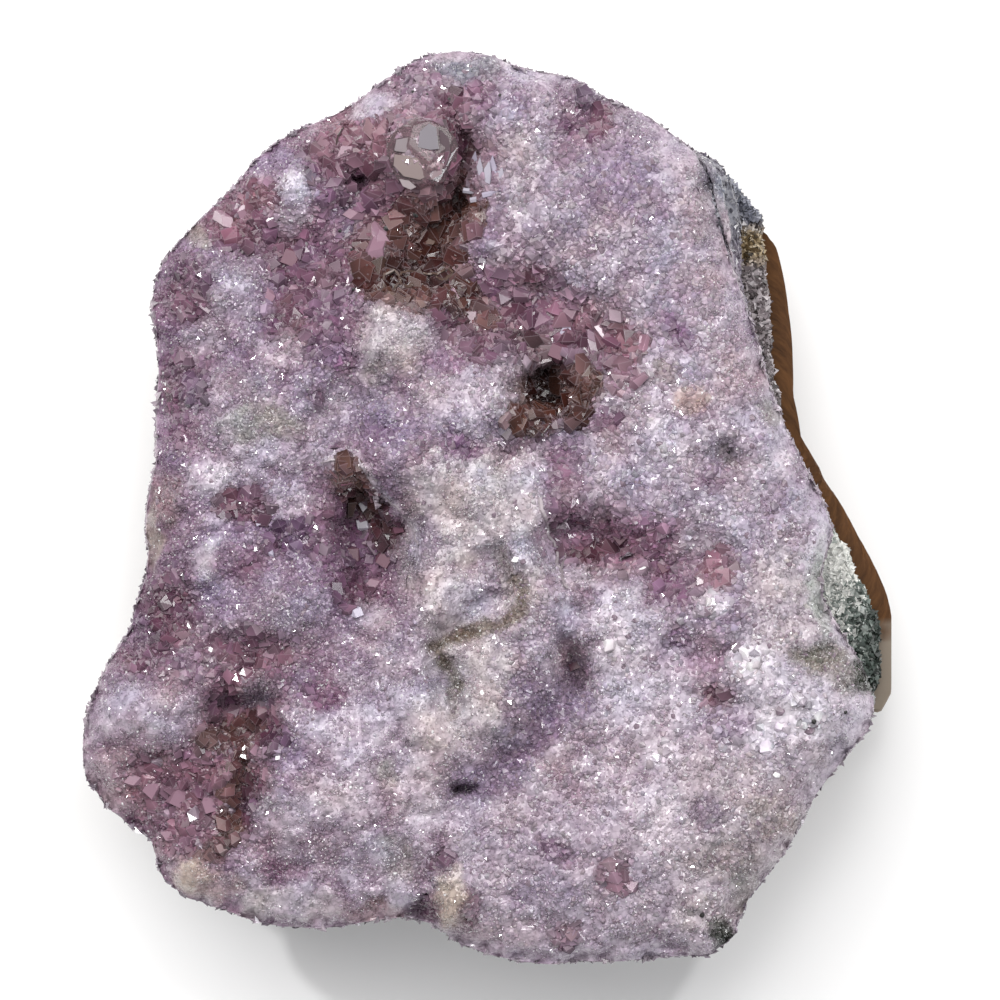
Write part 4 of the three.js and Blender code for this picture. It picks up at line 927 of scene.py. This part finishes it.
# The grey and ice flat faces are pale partly as their own tone and partly as painted reflection of the
# lights.
# Crystals that stand out one by one: large flat faces in the hollows, long streaked ones beside the brown
# channel, and the few whose faces flash white, painted near white as painted glints.
# x and y of the middle of the flat face, width, the way it looks, turn in degrees, colour
FLAT_FACES = [
    (8.0, 17.4, 2.4, 0.05, 0.05, 20, "grey"), (-12.4, 0.3, 1.7, -0.1, 0.1, 80, "ice"),
    (-12.6, -1.6, 1.6, 0.1, 0.15, -40, "ice"), (-19.5, 21.6, 1.4, -0.2, 0.2, 10, "rose"),
    (-21.7, 20.9, 1.3, 0.2, 0.1, 100, "rose"), (-22.8, -1.4, 1.2, -0.1, 0.2, 60, "grey"),
    (-21.7, -4.4, 1.0, 0.15, 0.1, -60, "grey"), (-12.9, -10.5, 1.2, 0.1, 0.2, 150, "grey"),
    (9.7, -4.4, 1.2, -0.1, 0.1, 30, "grey"), (-9.6, 22.5, 1.2, 0, 0.1, 45, "brown"),
    (1.2, 19.5, 1.9, -0.2, 0.25, 10, "wine"), (4.2, 21.7, 1.8, 0.25, 0.1, 70, "rose"),
    (5.7, 18.5, 2.0, -0.15, 0.1, 130, "rose"), (11.6, 17.7, 2.2, 0.2, 0.2, -20, "rose"),
    (12.4, 15.5, 1.8, -0.2, -0.1, 50, "rose"), (3.4, 16.9, 1.6, 0.1, 0.3, 100, "wine"),
    (-1.8, 18.9, 1.9, 0.2, 0.2, 40, "wine"), (-3.6, 21.1, 1.6, -0.25, 0.1, 160, "rose"),
    (9.7, 19.7, 1.8, 0, 0.2, 95, "wine"), (6.8, 15.5, 1.9, 0.1, 0.3, 15, "wine"),
    (10.2, 10.9, 1.5, -0.3, 0.1, 60, "rose"), (-14.3, 35.5, 2.0, 0.2, 0.2, 30, "rose"),
    (-11.6, 36.1, 1.9, -0.2, 0.1, -30, "rose"), (-10.2, 33.1, 1.8, 0.1, 0.2, 80, "wine"),
    (-13.8, 29.3, 1.6, -0.1, 0.2, 0, "rose"), (-10.4, 26.7, 2.4, 0.15, 0.1, 110, "rose"),
    (-11.2, 24.9, 2.4, 0.3, -0.2, 60, "rose"), (-5.8, 26.9, 2.4, -0.1, 0.15, 20, "brown"),
    (-6.8, 25.1, 2.0, 0.15, 0.1, -50, "brown"), (-19.8, 24.9, 2.2, 0.1, 0.1, 20, "wine"),
    (-24.2, 29.1, 2.0, -0.3, -0.1, 70, "rose"), (-26.0, 28.5, 2.0, 0.1, 0.2, 130, "rose"),
    (-13.6, -4.8, 1.9, 0.2, 0.2, 40, "wine"), (-10.4, -5.3, 1.9, -0.3, 0.1, 100, "wine"),
    (-11.6, -7.7, 1.7, -0.1, 0.25, 10, "rose"), (-14.2, 2.7, 1.5, 0.25, -0.1, 60, "wine"),
    (-9.0, -2.1, 1.6, -0.35, 0, 150, "wine"), (9.5, -1.3, 1.7, 0.1, -0.2, 30, "wine"),
    (13.2, -3.1, 1.6, -0.1, 0.2, 80, "wine"), (17.6, -5.9, 1.6, 0.2, 0.2, -20, "wine"),
    (8.6, -15.7, 1.7, -0.2, 0.1, 60, "wine"), (-31.0, -29.3, 2.0, 0.3, -0.1, 20, "rose"),
    (-33.8, -28.3, 2.0, -0.3, 0.0, 100, "rose"), (-27.8, -29.9, 1.8, 0.2, 0.1, 60, "rose"),
    (-32.0, -32.9, 1.8, 0.1, 0.1, -30, "rose"), (-35.6, -27.3, 1.8, 0.0, 0.2, 10, "rose"),
    (-12.8, 31.3, 0.55, -0.22, 0.13, 0, "flash"), (-12.0, 30.8, 0.4, -0.22, 0.14, 60, "flash"),
    (-13.2, 30.6, 0.35, -0.21, 0.13, 120, "flash"), (15.2, -6.4, 0.8, -0.22, 0.13, 30, "flash"),
    (-27.8, -14.4, 0.55, -0.22, 0.13, 80, "flash"), (-20.2, -2.4, 0.5, 0.17, 0.18, 10, "flash"),
    (-21.0, -25.0, 0.6, -0.22, 0.13, 45, "flash"), (-20.4, -20.4, 0.5, 0.17, 0.18, -20, "flash"),
    (16.4, 2.8, 0.5, -0.22, 0.13, 0, "flash"), (2.7, -5.2, 0.9, -0.22, 0.13, 20, "flash"),
    (28.7, -26.7, 0.6, 0.17, 0.18, 0, "flash"),
]
# x, y, length, width, heading in degrees, colour
LONG_CRYSTALS = [
    (-2.0, 33.7, 2.8, 0.8, 92, "ice"), (-1.3, 34.1, 3.4, 0.9, 88, "grey"),
    (-0.7, 33.5, 3.2, 0.8, 94, "ice"), (0.0, 33.2, 3.0, 0.9, 85, "ice"),
    (0.6, 33.9, 2.8, 0.8, 97, "grey"), (1.3, 33.3, 2.4, 0.8, 90, "ice"),
    (-0.6, 30.8, 2.2, 0.6, 10, "ice"), (-1.4, 31.5, 2.0, 0.6, -8, "ice"),
    (0.4, 31.3, 1.8, 0.6, 14, "grey"), (22.0, -5.5, 2.2, 0.7, 80, "rose"),
    (22.8, -6.1, 2.6, 0.8, 95, "rose"), (23.6, -5.6, 2.0, 0.6, 100, "rose"),
]
# flash: a near-white painted glint on the faces that flash
FACE_COLOURS = {
    "grey": (0.66, 0.63, 0.70), "rose": (0.56, 0.44, 0.50), "wine": (0.42, 0.28, 0.34),
    "brown": (0.34, 0.24, 0.20), "flash": (0.97, 0.96, 0.97), "ice": (0.66, 0.64, 0.69),
}
FACE_ANGLE = math.radians(52.4)
FACE_MIDDLE = (0.5, 0, 0.35)
FACE_WIDTH = 1.7
FACE_RISE = 0.6
FACE_SINK = 0.05
FACE_STRETCH = (0.55, 1.0)
FACE_SEED = 151
LONG_RISE = 0.1
LONG_SLOPE = 0.15
LONG_HEIGHT = 2.2


def colour_layer(bm):
    return bm.verts.layers.float_color.get("tint") or bm.verts.layers.float_color.new("tint")


def stain(bm, vertices, colour):
    layer = colour_layer(bm)
    for vertex in vertices:
        vertex[layer] = (*np.clip(to_linear(np.array(colour)), 0, 1), 1)


def finish_piece(bm, name, material):
    bmesh.ops.recalc_face_normals(bm, faces=bm.faces)
    for vertex in bm.verts:
        vertex.co = Vector(np.clip(vertex.co, BOX_LOW, BOX_HIGH)) * MM
    piece = mesh_object(name, mesh_from(bm, name), material)
    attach(piece, "root")


def place_copy(bm, prototype, place, turn, stretch, colour):
    """Adds a stretched, turned and moved copy of a prototype mesh to the bmesh, in one colour."""
    matrix = Matrix.Translation(place) @ (turn @ Matrix.Diagonal(stretch)).to_4x4()
    before = len(bm.verts)
    bm.from_mesh(prototype)
    bm.verts.ensure_lookup_table()
    added = bm.verts[before:]
    for vertex in added:
        vertex.co = matrix @ vertex.co
    stain(bm, added, colour)


def level_at(x, y):
    return surface_height(np.array([x]), np.array([y]))[0][0]


named_bm = bmesh.new()
colour_layer(named_bm)
face_normal = Vector((math.sin(FACE_ANGLE), 0, math.cos(FACE_ANGLE)))
face_middle = Vector(FACE_MIDDLE)
face_rng = np.random.default_rng(FACE_SEED)
for x, y, width, look_x, look_y, spin, colour in FLAT_FACES:
    look = Vector((look_x, look_y, 1)).normalized()
    turn = Matrix.Rotation(math.radians(spin), 3, look) @ face_normal.rotation_difference(look).to_matrix()
    size = width / FACE_WIDTH
    middle = Vector((x, y, level_at(x, y) + size * FACE_RISE - FACE_SINK)) - turn @ face_middle * size
    stretch = (size, size * face_rng.uniform(*FACE_STRETCH), size)
    place_copy(named_bm, three_faced, middle, turn, stretch, FACE_COLOURS[colour])
for x, y, length, width, heading, colour in LONG_CRYSTALS:
    heading = math.radians(heading)
    along = Vector((math.cos(heading), math.sin(heading), LONG_SLOPE)).normalized()
    turn = Vector((0, 0, 1)).rotation_difference(along).to_matrix()
    place_copy(named_bm, three_faced, (x, y, level_at(x, y) + width * LONG_RISE), turn,
               (width / 2, width / 2, length / LONG_HEIGHT), FACE_COLOURS[colour])
finish_piece(named_bm, "named_crystals",
             crystal_material("clear_face", roughness=0.15, clearness=0.25, shine=0.15))

# The clear crystal at the upper left: a rounded, glassy lump with broken planes inside that shine pale
# grey-blue, beige and rose. It grew with the crust round it and isn't set in.
CLEAR_PLACE = (-6.6, 35.2)
CLEAR_SIZE = (3.5, 3.5, 1.8)
CLEAR_SINK = 1.0
CLEAR_COLOUR = (0.80, 0.69, 0.72)
CLEAR_SWELL = 0.16
CLEAR_SWELLS = 2.2
CLEAR_CUTS = [
    ((0.3, 0.5, 1.0), 0.72), ((-0.5, -0.4, 1.0), 0.74), ((0.8, -0.3, 0.7), 0.8), ((-0.9, 0.3, 0.6), 0.82),
]
PLANE_LEVEL = 0.34
PLANE_SPREAD = 0.9
PLANE_THICKNESS = 1.2
# colour, depth, slope across and along, outline
BROKEN_PLANES = [
    ((0.46, 0.43, 0.475), 0.0, (0.04, -0.05),
     [(-7.0, 35.9), (-6.8, 37.6), (-5.8, 38.5), (-5.0, 38.1), (-4.7, 35.7), (-5.7, 35.6)]),
    ((0.59, 0.54, 0.56), 0.06, (-0.06, 0.03),
     [(-9.6, 35.5), (-9.4, 36.7), (-8.0, 37.0), (-6.8, 36.3), (-5.6, 35.5), (-5.8, 34.8), (-7.8, 35.2)]),
    ((0.585, 0.515, 0.51), 0.12, (0.03, 0.06),
     [(-9.6, 35.1), (-7.9, 34.9), (-6.0, 34.4), (-5.6, 32.9), (-6.8, 32.3), (-8.6, 32.7), (-9.7, 33.9)]),
    ((0.58, 0.48, 0.51), 0.2, (0.08, 0.02),
     [(-6.7, 34.7), (-5.1, 34.5), (-4.3, 33.9), (-4.4, 32.9), (-5.4, 32.3), (-6.5, 32.6)]),
    ((0.31, 0.21, 0.26), 0.3, (0.05, 0.05),
     [(-4.6, 37.9), (-3.6, 36.9), (-3.4, 34.9), (-4.1, 33.5), (-4.6, 34.9)]),
    ((0.57, 0.51, 0.53), 0.3, (0.1, -0.1),
     [(-9.1, 32.4), (-8.0, 32.2), (-7.2, 31.5), (-7.8, 31.2), (-8.7, 31.6)]),
]

clear_bm = bmesh.new()
bmesh.ops.create_icosphere(clear_bm, subdivisions=3, radius=1)
for direction, reach in CLEAR_CUTS:
    normal = Vector(direction).normalized()
    cut = bmesh.ops.bisect_plane(clear_bm, geom=clear_bm.verts[:] + clear_bm.edges[:] + clear_bm.faces[:],
                                 plane_co=normal * reach, plane_no=normal, clear_outer=True)
    rim = [part for part in cut["geom_cut"] if isinstance(part, bmesh.types.BMEdge)]
    bmesh.ops.contextual_create(clear_bm, geom=rim)
clear_level = level_at(*CLEAR_PLACE)
clear_middle = Vector(CLEAR_PLACE).to_3d() + Vector((0, 0, clear_level - CLEAR_SINK))
for vertex in clear_bm.verts:
    swell = 1 + CLEAR_SWELL * noise.noise(vertex.co * CLEAR_SWELLS)
    vertex.co = clear_middle + Vector([part * size * swell for part, size in zip(vertex.co, CLEAR_SIZE)])
stain(clear_bm, clear_bm.verts, CLEAR_COLOUR)
finish_piece(clear_bm, "clear_crystal", crystal_material("clear_quartz", roughness=0.06, clearness=0.92))

planes_bm = bmesh.new()
colour_layer(planes_bm)
for colour, sink, (tilt_x, tilt_y), outline in BROKEN_PLANES:
    rings = []
    for side in (0, -PLANE_THICKNESS):
        ring = []
        for x, y in outline:
            x = CLEAR_PLACE[0] + (x - CLEAR_PLACE[0]) * PLANE_SPREAD
            y = CLEAR_PLACE[1] + (y - CLEAR_PLACE[1]) * PLANE_SPREAD
            slant = tilt_x * (x - outline[0][0]) + tilt_y * (y - outline[0][1])
            ring.append(planes_bm.verts.new((x, y, clear_level + PLANE_LEVEL - sink + slant + side)))
        rings.append(ring)
    top, bottom = rings
    planes_bm.faces.new(top)
    planes_bm.faces.new(bottom[::-1])
    for i in range(len(top)):
        planes_bm.faces.new((top[i], bottom[i], bottom[i - 1], top[i - 1]))
    stain(planes_bm, top + bottom, colour)
finish_piece(planes_bm, "broken_planes", crystal_material("broken_plane", roughness=0.3, clearness=0.5))

# Pale rims where thin crystal walls end: round the ring-shaped holes in the brown channel, along the
# lips of the hollows and beside the clear crystal. Dark specks of iron ore lie round the channel.
# colour, radius, lift, whether it closes, course
RIMS = [
    ((0.38, 0.31, 0.28), 0.18, 0.9, True, [
        (-7.2, 22.8), (-7.4, 22.2), (-8.0, 22.0), (-8.6, 22.2), (-8.8, 22.8), (-8.6, 23.4), (-8.0, 23.6),
        (-7.4, 23.4),
    ]),
    ((0.42, 0.36, 0.34), 0.16, 0.9, True, [
        (-10.4, 23.0), (-9.3, 23.7), (-8.7, 22.6), (-9.4, 21.7), (-10.4, 21.9),
    ]),
    ((0.38, 0.31, 0.28), 0.16, 0.9, False, [
        (-7.4, 23.5), (-6.4, 23.2), (-5.0, 23.3), (-4.1, 24.0), (-3.5, 23.4), (-4.2, 22.7), (-5.2, 23.0),
    ]),
    ((0.62, 0.55, 0.56), 0.13, 0.7, False, [
        (-5.6, 38.7), (-4.0, 37.9), (-2.6, 36.5), (-1.7, 35.8), (-1.4, 35.2), (-1.9, 34.4), (-2.6, 33.5),
    ]),
    ((0.66, 0.61, 0.6), 0.13, 0.7, False, [
        (-2.6, 33.5), (-2.9, 32.3), (-2.9, 31.5),
    ]),
    ((0.58, 0.54, 0.54), 0.13, 0.6, False, [
        (-3.1, 28.3), (-3.6, 27.2), (-3.5, 25.9), (-3.2, 25.1),
    ]),
    ((0.52, 0.44, 0.46), 0.12, 0.8, False, [
        (-14.6, 32.4), (-13.8, 33.2), (-12.6, 33.4), (-11.4, 32.9), (-10.8, 32.1),
    ]),
    ((0.64, 0.58, 0.58), 0.16, 0.7, False, [
        (4.6, 14.7), (4.2, 13.2), (3.4, 12.1), (3.6, 10.7), (3.2, 9.1),
    ]),
    ((0.70, 0.66, 0.69), 0.15, 0.1, False, [
        (-16.6, 4.4), (-14.8, 4.9), (-13.2, 5.1), (-12.2, 3.7), (-10.9, 1.4), (-9.0, 0.0), (-7.4, -2.1),
        (-7.0, -3.9),
    ]),
    ((0.3, 0.24, 0.24), 0.1, 0.6, False, [
        (-14.3, 37.9), (-15.0, 37.1), (-15.2, 36.1),
    ]),
    ((0.62, 0.58, 0.6), 0.13, 0.6, False, [
        (7.8, -4.9), (7.2, -6.3), (7.8, -8.1),
    ]),
    ((0.72, 0.68, 0.70), 0.2, 0.2, False, [
        (5.1, 0.9), (5.3, -0.3), (5.9, -1.5), (6.1, -3.0), (6.9, -4.2), (6.8, -5.5), (7.3, -6.6),
    ]),
]
# x, y, radius
SPECKS = [
    (-3.1, 41.5, 0.28), (-3.9, 40.7, 0.26), (-4.0, 41.7, 0.2), (-6.1, 41.2, 0.2), (-7.5, 41.5, 0.18),
    (-9.0, 30.6, 0.28), (-11.8, 34.1, 0.22), (-10.1, 27.8, 0.45), (-7.2, 29.2, 0.35), (-6.0, 26.6, 0.42),
    (-13.4, 21.7, 0.2), (-4.5, 23.8, 0.3), (-10.0, 22.2, 0.15), (-8.0, 22.8, 0.5), (-9.6, 22.6, 0.4),
    (-3.3, 38.3, 0.25), (-14.3, 35.5, 0.15), (-8.6, 29.5, 0.18), (-6.5, 29.5, 0.16), (32.5, -21.4, 0.3),
    (35.7, -20.5, 0.22), (21.4, -40.8, 0.3), (24.0, 5.5, 0.25), (1.2, 41.1, 0.2), (-14.8, 27.6, 0.2),
    (-13.6, 25.7, 0.18),
]
SPECK_COLOUR = (0.05, 0.04, 0.04)
SPECK_LIFT = 0.8
SPECK_HEIGHT = 0.6
RIM_SIDES = 5
RIM_STEP = 0.35
RIM_WOBBLE = 0.2
RIM_WOBBLE_SIZE = 0.5
RIM_SEEDS = (31, 32)
RIM_UNDERSIDE = -0.1
RIM_TALLNESS = 1.4
RIM_SWELL = 0.4

rims_bm = bmesh.new()
colour_layer(rims_bm)
for colour, radius, lift, closed, points in RIMS:
    corners = points + points[:1] if closed else points
    path = []
    for (x0, y0), (x1, y1) in zip(corners, corners[1:]):
        steps = max(1, round(math.hypot(x1 - x0, y1 - y0) / RIM_STEP))
        path += [(x0 + (x1 - x0) * i / steps, y0 + (y1 - y0) * i / steps) for i in range(steps)]
    path = np.array(path if closed else [*path, points[-1]])
    path += RIM_WOBBLE * np.column_stack([mottle(*path.T, RIM_WOBBLE_SIZE, seed=seed) for seed in RIM_SEEDS])
    levels = surface_height(*path.T)[0] + lift
    rings = []
    for i, ((x, y), z) in enumerate(zip(path, levels)):
        if closed or 0 < i < len(path) - 1:
            ahead = path[(i + 1) % len(path)] - path[i - 1]
        else:
            ahead = path[1] - path[0]
        side = Vector((*ahead, 0)).normalized().cross(Vector((0, 0, 1)))
        girth = radius * (1 + RIM_SWELL * noise.noise(Vector((x, y, z)) * 2))
        ring = []
        for k in range(RIM_SIDES):
            angle = 2 * math.pi * k / RIM_SIDES
            offset = (side * math.cos(angle) + Vector((0, 0, RIM_TALLNESS)) * math.sin(angle)) * girth
            foot = Vector((0, 0, lift if math.sin(angle) < RIM_UNDERSIDE else 0))
            ring.append(rims_bm.verts.new(Vector((x, y, z)) + offset - foot))
        rings.append(ring)
    pairs = list(zip(rings, rings[1:])) + ([(rings[-1], rings[0])] if closed else [])
    for one, other in pairs:
        for k in range(RIM_SIDES):
            rims_bm.faces.new((one[k], one[k - 1], other[k - 1], other[k]))
    if not closed:
        rims_bm.faces.new(rings[0])
        rims_bm.faces.new(rings[-1][::-1])
    stain(rims_bm, [vertex for ring in rings for vertex in ring], colour)
finish_piece(rims_bm, "pale_rims", crystal_material("pale_rim", roughness=0.15, clearness=0.3))

specks_bm = bmesh.new()
for x, y, radius in SPECKS:
    heights, speck_zones = surface_height(np.array([x]), np.array([y]))
    level = heights[0] + SPECK_LIFT * speck_zones[0, 4]
    flattened = Matrix.Translation((x, y, level)) @ Matrix.Scale(SPECK_HEIGHT, 4, (0, 0, 1))
    bmesh.ops.create_icosphere(specks_bm, subdivisions=1, radius=radius, matrix=flattened)
stain(specks_bm, specks_bm.verts, SPECK_COLOUR)
finish_piece(specks_bm, "dark_specks", crystal_material("dark_ore", roughness=0.3, clearness=0))

# The dark matrix: a thin layer of grainy rock that the crust grew on. It shows as a strip of grey-brown
# grains beside the crust, and as a patch of dark green and white grains below it.
MATRIX_VOXEL = 0.6
MATRIX_ROUGHNESS = 0.5
MATRIX_SHADE = 0.6
MATRIX_DARKNESS = 0.8
COARSE_BUMPS = 1.4
FINE_BUMPS = 0.6
FINE_SHARE = 0.6
STRIP_COLOURS = [(0.20, 0.17, 0.17), (0.54, 0.50, 0.51), (0.80, 0.77, 0.78)]
STRIP_SHADOW = 0.4
SHADOW_WIDTH = 1.5
HOLLOW_COLOURS = [(0.20, 0.15, 0.08), (0.54, 0.46, 0.34), (0.84, 0.78, 0.68)]
HOLLOW_PLACE = 26.4
HOLLOW_REACH = 1.5
HOLLOW_CORE = 1.6
HOLLOW_SIDE = (20, 23)
CHUNK_COLOURS = [(0.24, 0.24, 0.27), (0.40, 0.41, 0.46), (0.60, 0.60, 0.65)]
CHUNK_START = (27.5, 29)
CHUNK_SIDE = (10, 14)
PATCH_COLOURS = [(0.09, 0.12, 0.10), (0.42, 0.46, 0.44), (0.90, 0.90, 0.88)]
PATCH_LEVELS = [(-18, 0.05), (-15, 0.35), (-12, 0.7), (-9, 1.0), (-6.5, 1.3), (-4.5, 1.3), (-3, 0.9)]
PATCH_TOP = (1, -2)
PATCH_SIDE = (26, 29)
PATCH_DARKENING = 0.13
PATCH_EDGE = 1.5
PATCH_CONTRAST = 0.9
MATRIX_HEM = [
    (-11, 1.0), (-7, 0.87), (-4, 0.93), (-2.5, 0.5), (-1, 0.0), (6, 0.0), (8.7, 0.6), (16, 0.7), (21, 1.0),
    (25, 1.0), (28, 1.5),
]
HEM_START = 0.4
GRAIN_COUNT = 15000
GRAIN_SEED = 61
GRAIN_MIX = 1.2
GRAIN_SIZE = (0.25, 0.75)
GRAIN_TALLNESS = (0.4, 0.7)
GRAIN_LEAN = 0.7
GRAIN_SIDEWAYS = 0.6
GRAIN_LOWEST = -0.5
GRAIN_UNDER = 1


def bumps(points, size):
    return np.array([noise.noise(Vector(point) / size) for point in points])


def matrix_tint(points, dark_share):
    """Grain colours: grey-brown in the strip and round the flank, darkened near the crust's edge as a painted
    shadow, and dark green and white in the low patch.
    """
    x, y, _ = points.T
    outward = beyond_crust(x, y)
    # painted shadow: the grains darken towards the crust's edge
    level = np.clip(1 - dark_share, 0, 1) * np.clip(STRIP_SHADOW + outward / SHADOW_WIDTH, STRIP_SHADOW, 1)
    patch_level = np.interp(y, *zip(*PATCH_LEVELS)) - PATCH_DARKENING * np.maximum(0, outward - PATCH_EDGE)
    patch_level = np.clip(patch_level + PATCH_CONTRAST * (0.5 - dark_share), 0, 1)
    in_chunk = ramp(y, *CHUNK_START) * ramp(x, *CHUNK_SIDE)
    in_hollow = np.clip(HOLLOW_CORE - np.abs(y - HOLLOW_PLACE) / HOLLOW_REACH, 0, 1) * ramp(x, *HOLLOW_SIDE)
    in_patch = ramp(y, *PATCH_TOP) * ramp(x, *PATCH_SIDE)

    def along(colours, share):
        dark, middle, light = np.array(colours)
        low = towards(dark, middle, np.clip(share * 2, 0, 1))
        return towards(low, light, np.clip(share * 2 - 1, 0, 1))

    tint = along(STRIP_COLOURS, level)
    tint = towards(tint, along(CHUNK_COLOURS, level), in_chunk)
    tint = towards(tint, along(HOLLOW_COLOURS, level), in_hollow)
    return to_linear(towards(tint, along(PATCH_COLOURS, patch_level), in_patch))


matrix_mesh, matrix_points, matrix_normals = fine_skin("dark_matrix", "matrix_layer", MATRIX_VOXEL)
matrix_x, matrix_y, _ = matrix_points.T
beyond = np.maximum(0, beyond_crust(matrix_x, matrix_y) + HEM_START)
hem = np.interp(matrix_y, *zip(*MATRIX_HEM))
matrix_points[:, :2] *= (1 - beyond * (1 - hem) / np.hypot(matrix_x, matrix_y))[:, None]
roughness = bumps(matrix_points, COARSE_BUMPS) + FINE_SHARE * bumps(matrix_points, FINE_BUMPS)
matrix_points -= matrix_normals * (MATRIX_ROUGHNESS * np.clip(0.5 + roughness, 0, 1))[:, None]
move_points(matrix_mesh, matrix_points)
matrix_dark = np.clip(MATRIX_DARKNESS - roughness, 0, 1)
paint(matrix_mesh, matrix_tint(matrix_points, matrix_dark) * MATRIX_SHADE)
matrix_material = crystal_material("grainy_matrix", roughness=0.5, clearness=0)
matrix_layer = mesh_object("matrix_layer", matrix_mesh, matrix_material)
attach(matrix_layer, "root")
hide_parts("dark_matrix")

grain_corners, grain_areas = corner_table(matrix_mesh, matrix_points)
middle_x, middle_y, _ = matrix_points[grain_corners].mean(axis=1).T
upward = matrix_normals[grain_corners].mean(axis=1)[:, 2]
uncovered = (beyond_crust(middle_x, middle_y) > -GRAIN_UNDER) & (upward > GRAIN_LOWEST)
growing = uncovered | (np.abs(upward) < GRAIN_SIDEWAYS)
rng = np.random.default_rng(GRAIN_SEED)
corners, shares = scatter(grain_corners, grain_areas * growing, GRAIN_COUNT, rng)
places = blend(matrix_points, corners, shares)
axes = leaning(blend(matrix_normals, corners, shares), GRAIN_LEAN, rng)
radii = GRAIN_SIZE[0] + (GRAIN_SIZE[1] - GRAIN_SIZE[0]) * rng.random(GRAIN_COUNT) ** 2
tints = matrix_tint(places, rng.beta(GRAIN_MIX, GRAIN_MIX, GRAIN_COUNT))
grain_material = crystal_material("matrix_grain", roughness=0.25, clearness=0.1)
grow("matrix_grains", three_sided, places, axes, radii, GRAIN_TALLNESS, tints, grain_material, rng)

# The brown rind: the smooth, streaky outer skin of the piece, with the flat facet that it rests on. The
# streaks run along it, as the layers of the cavity's wall do.
RIND_VOXEL = 0.7
RIND_ROUGHNESS = 0.6
RIND_SHINE = 0.1
RIND_SWELL = [(26, 0.45), (30, -1.0)]
RIND_SPOKES = 180
SPOKE_WIDTH = 0.035
BRIM_WIDTH = 2.5
BRIM_CORE = 1.4
BRIM_FOOT = (4, 7)
STREAKS_ROUND = 11.0
STREAKS_ACROSS = 2.4
STREAK_DETAIL = 8
STREAK_ROUGHNESS = 0.7
STREAK_COLOURS = [(0.3, (0.036, 0.016, 0.007, 1)), (0.72, (0.118, 0.052, 0.019, 1))]
SKIN_TOP = -11.5
SKIN_FOOT = 7.5
SKIN_FADE = 1.5
SKIN_RAGGED = 1.6
SKIN_WANDER = (3, 4)
SKIN_COLOUR = (0.21, 0.175, 0.14, 1)

rind_mesh, rind_points, _ = fine_skin("brown_rind", "rind_skin", RIND_VOXEL)
rind_reach = np.hypot(rind_points[:, 0], rind_points[:, 1])
rind_angle = np.arctan2(rind_points[:, 1], rind_points[:, 0])
bare = np.clip(2 * (outer_reach(rind_angle) - crust_reach(rind_angle)), 0, 1)
spokes = np.linspace(-math.pi, math.pi, RIND_SPOKES, endpoint=False)
apart = np.abs((rind_angle[None, :] - spokes[:, None] + math.pi) % (2 * math.pi) - math.pi)
widest = np.where(apart < SPOKE_WIDTH, rind_reach, 0).max(axis=1)
widest = (np.roll(widest, 1) + widest + np.roll(widest, -1)) / 3
widest = np.interp(rind_angle, spokes, widest, period=2 * math.pi)
brim = bare * np.clip(BRIM_CORE - (widest - rind_reach) / BRIM_WIDTH, 0, 1)
brim *= ramp(rind_points[:, 2], *BRIM_FOOT)
swell = np.interp(rind_points[:, 1], *zip(*RIND_SWELL)) * bare
short = np.maximum(outer_reach(rind_angle) + swell - rind_reach, 0)
rind_points[:, :2] *= (1 + brim * short / np.maximum(rind_reach, 1))[:, None]
rind_points = np.clip(rind_points, BOX_LOW, BOX_HIGH)
move_points(rind_mesh, rind_points)
ragged = bumps(rind_points, SKIN_RAGGED)
skin_share = bare * np.clip((SKIN_TOP - rind_points[:, 1] + SKIN_WANDER[0] * ragged) / SKIN_FADE, 0, 1)
skin_share *= np.clip((rind_points[:, 2] - SKIN_FOOT + SKIN_WANDER[1] * ragged) / SKIN_FADE, 0, 1)
store(rind_mesh, "skin", "FLOAT", "POINT", "value", skin_share)
store(rind_mesh, "streak", "FLOAT_VECTOR", "POINT", "vector", np.column_stack([
    rind_points[:, 0] / rind_reach * STREAKS_ROUND,
    rind_points[:, 1] / rind_reach * STREAKS_ROUND,
    (rind_points[:, 2] - rind_reach) * STREAKS_ACROSS,
]))

rind_material, tree, shader = make_material("brown_rind")
course = add_node(tree, "Attribute", {}, attribute_name="streak")["Vector"]
streaks = add_node(tree, "TexNoise", {"Vector": course, "Scale": 1, "Detail": STREAK_DETAIL,
                                      "Roughness": STREAK_ROUGHNESS})
browns = tree.nodes.new("ShaderNodeValToRGB")
for stop, (position, colour) in zip(browns.color_ramp.elements, STREAK_COLOURS):
    stop.position = position
    stop.color = colour
fill(browns, {"Fac": streaks["Fac"]})
skin = add_node(tree, "Attribute", {}, attribute_name="skin")["Fac"]
skinned = {"Factor": skin, "A": browns.outputs["Color"], "B": SKIN_COLOUR}
rind_colour = add_node(tree, "Mix", skinned, data_type="RGBA")["Result"]
fill(shader, {"Base Color": rind_colour, "Roughness": RIND_ROUGHNESS, "Specular IOR Level": RIND_SHINE})
rind_skin = mesh_object("rind_skin", rind_mesh, rind_material)
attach(rind_skin, "root")
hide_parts("brown_rind")
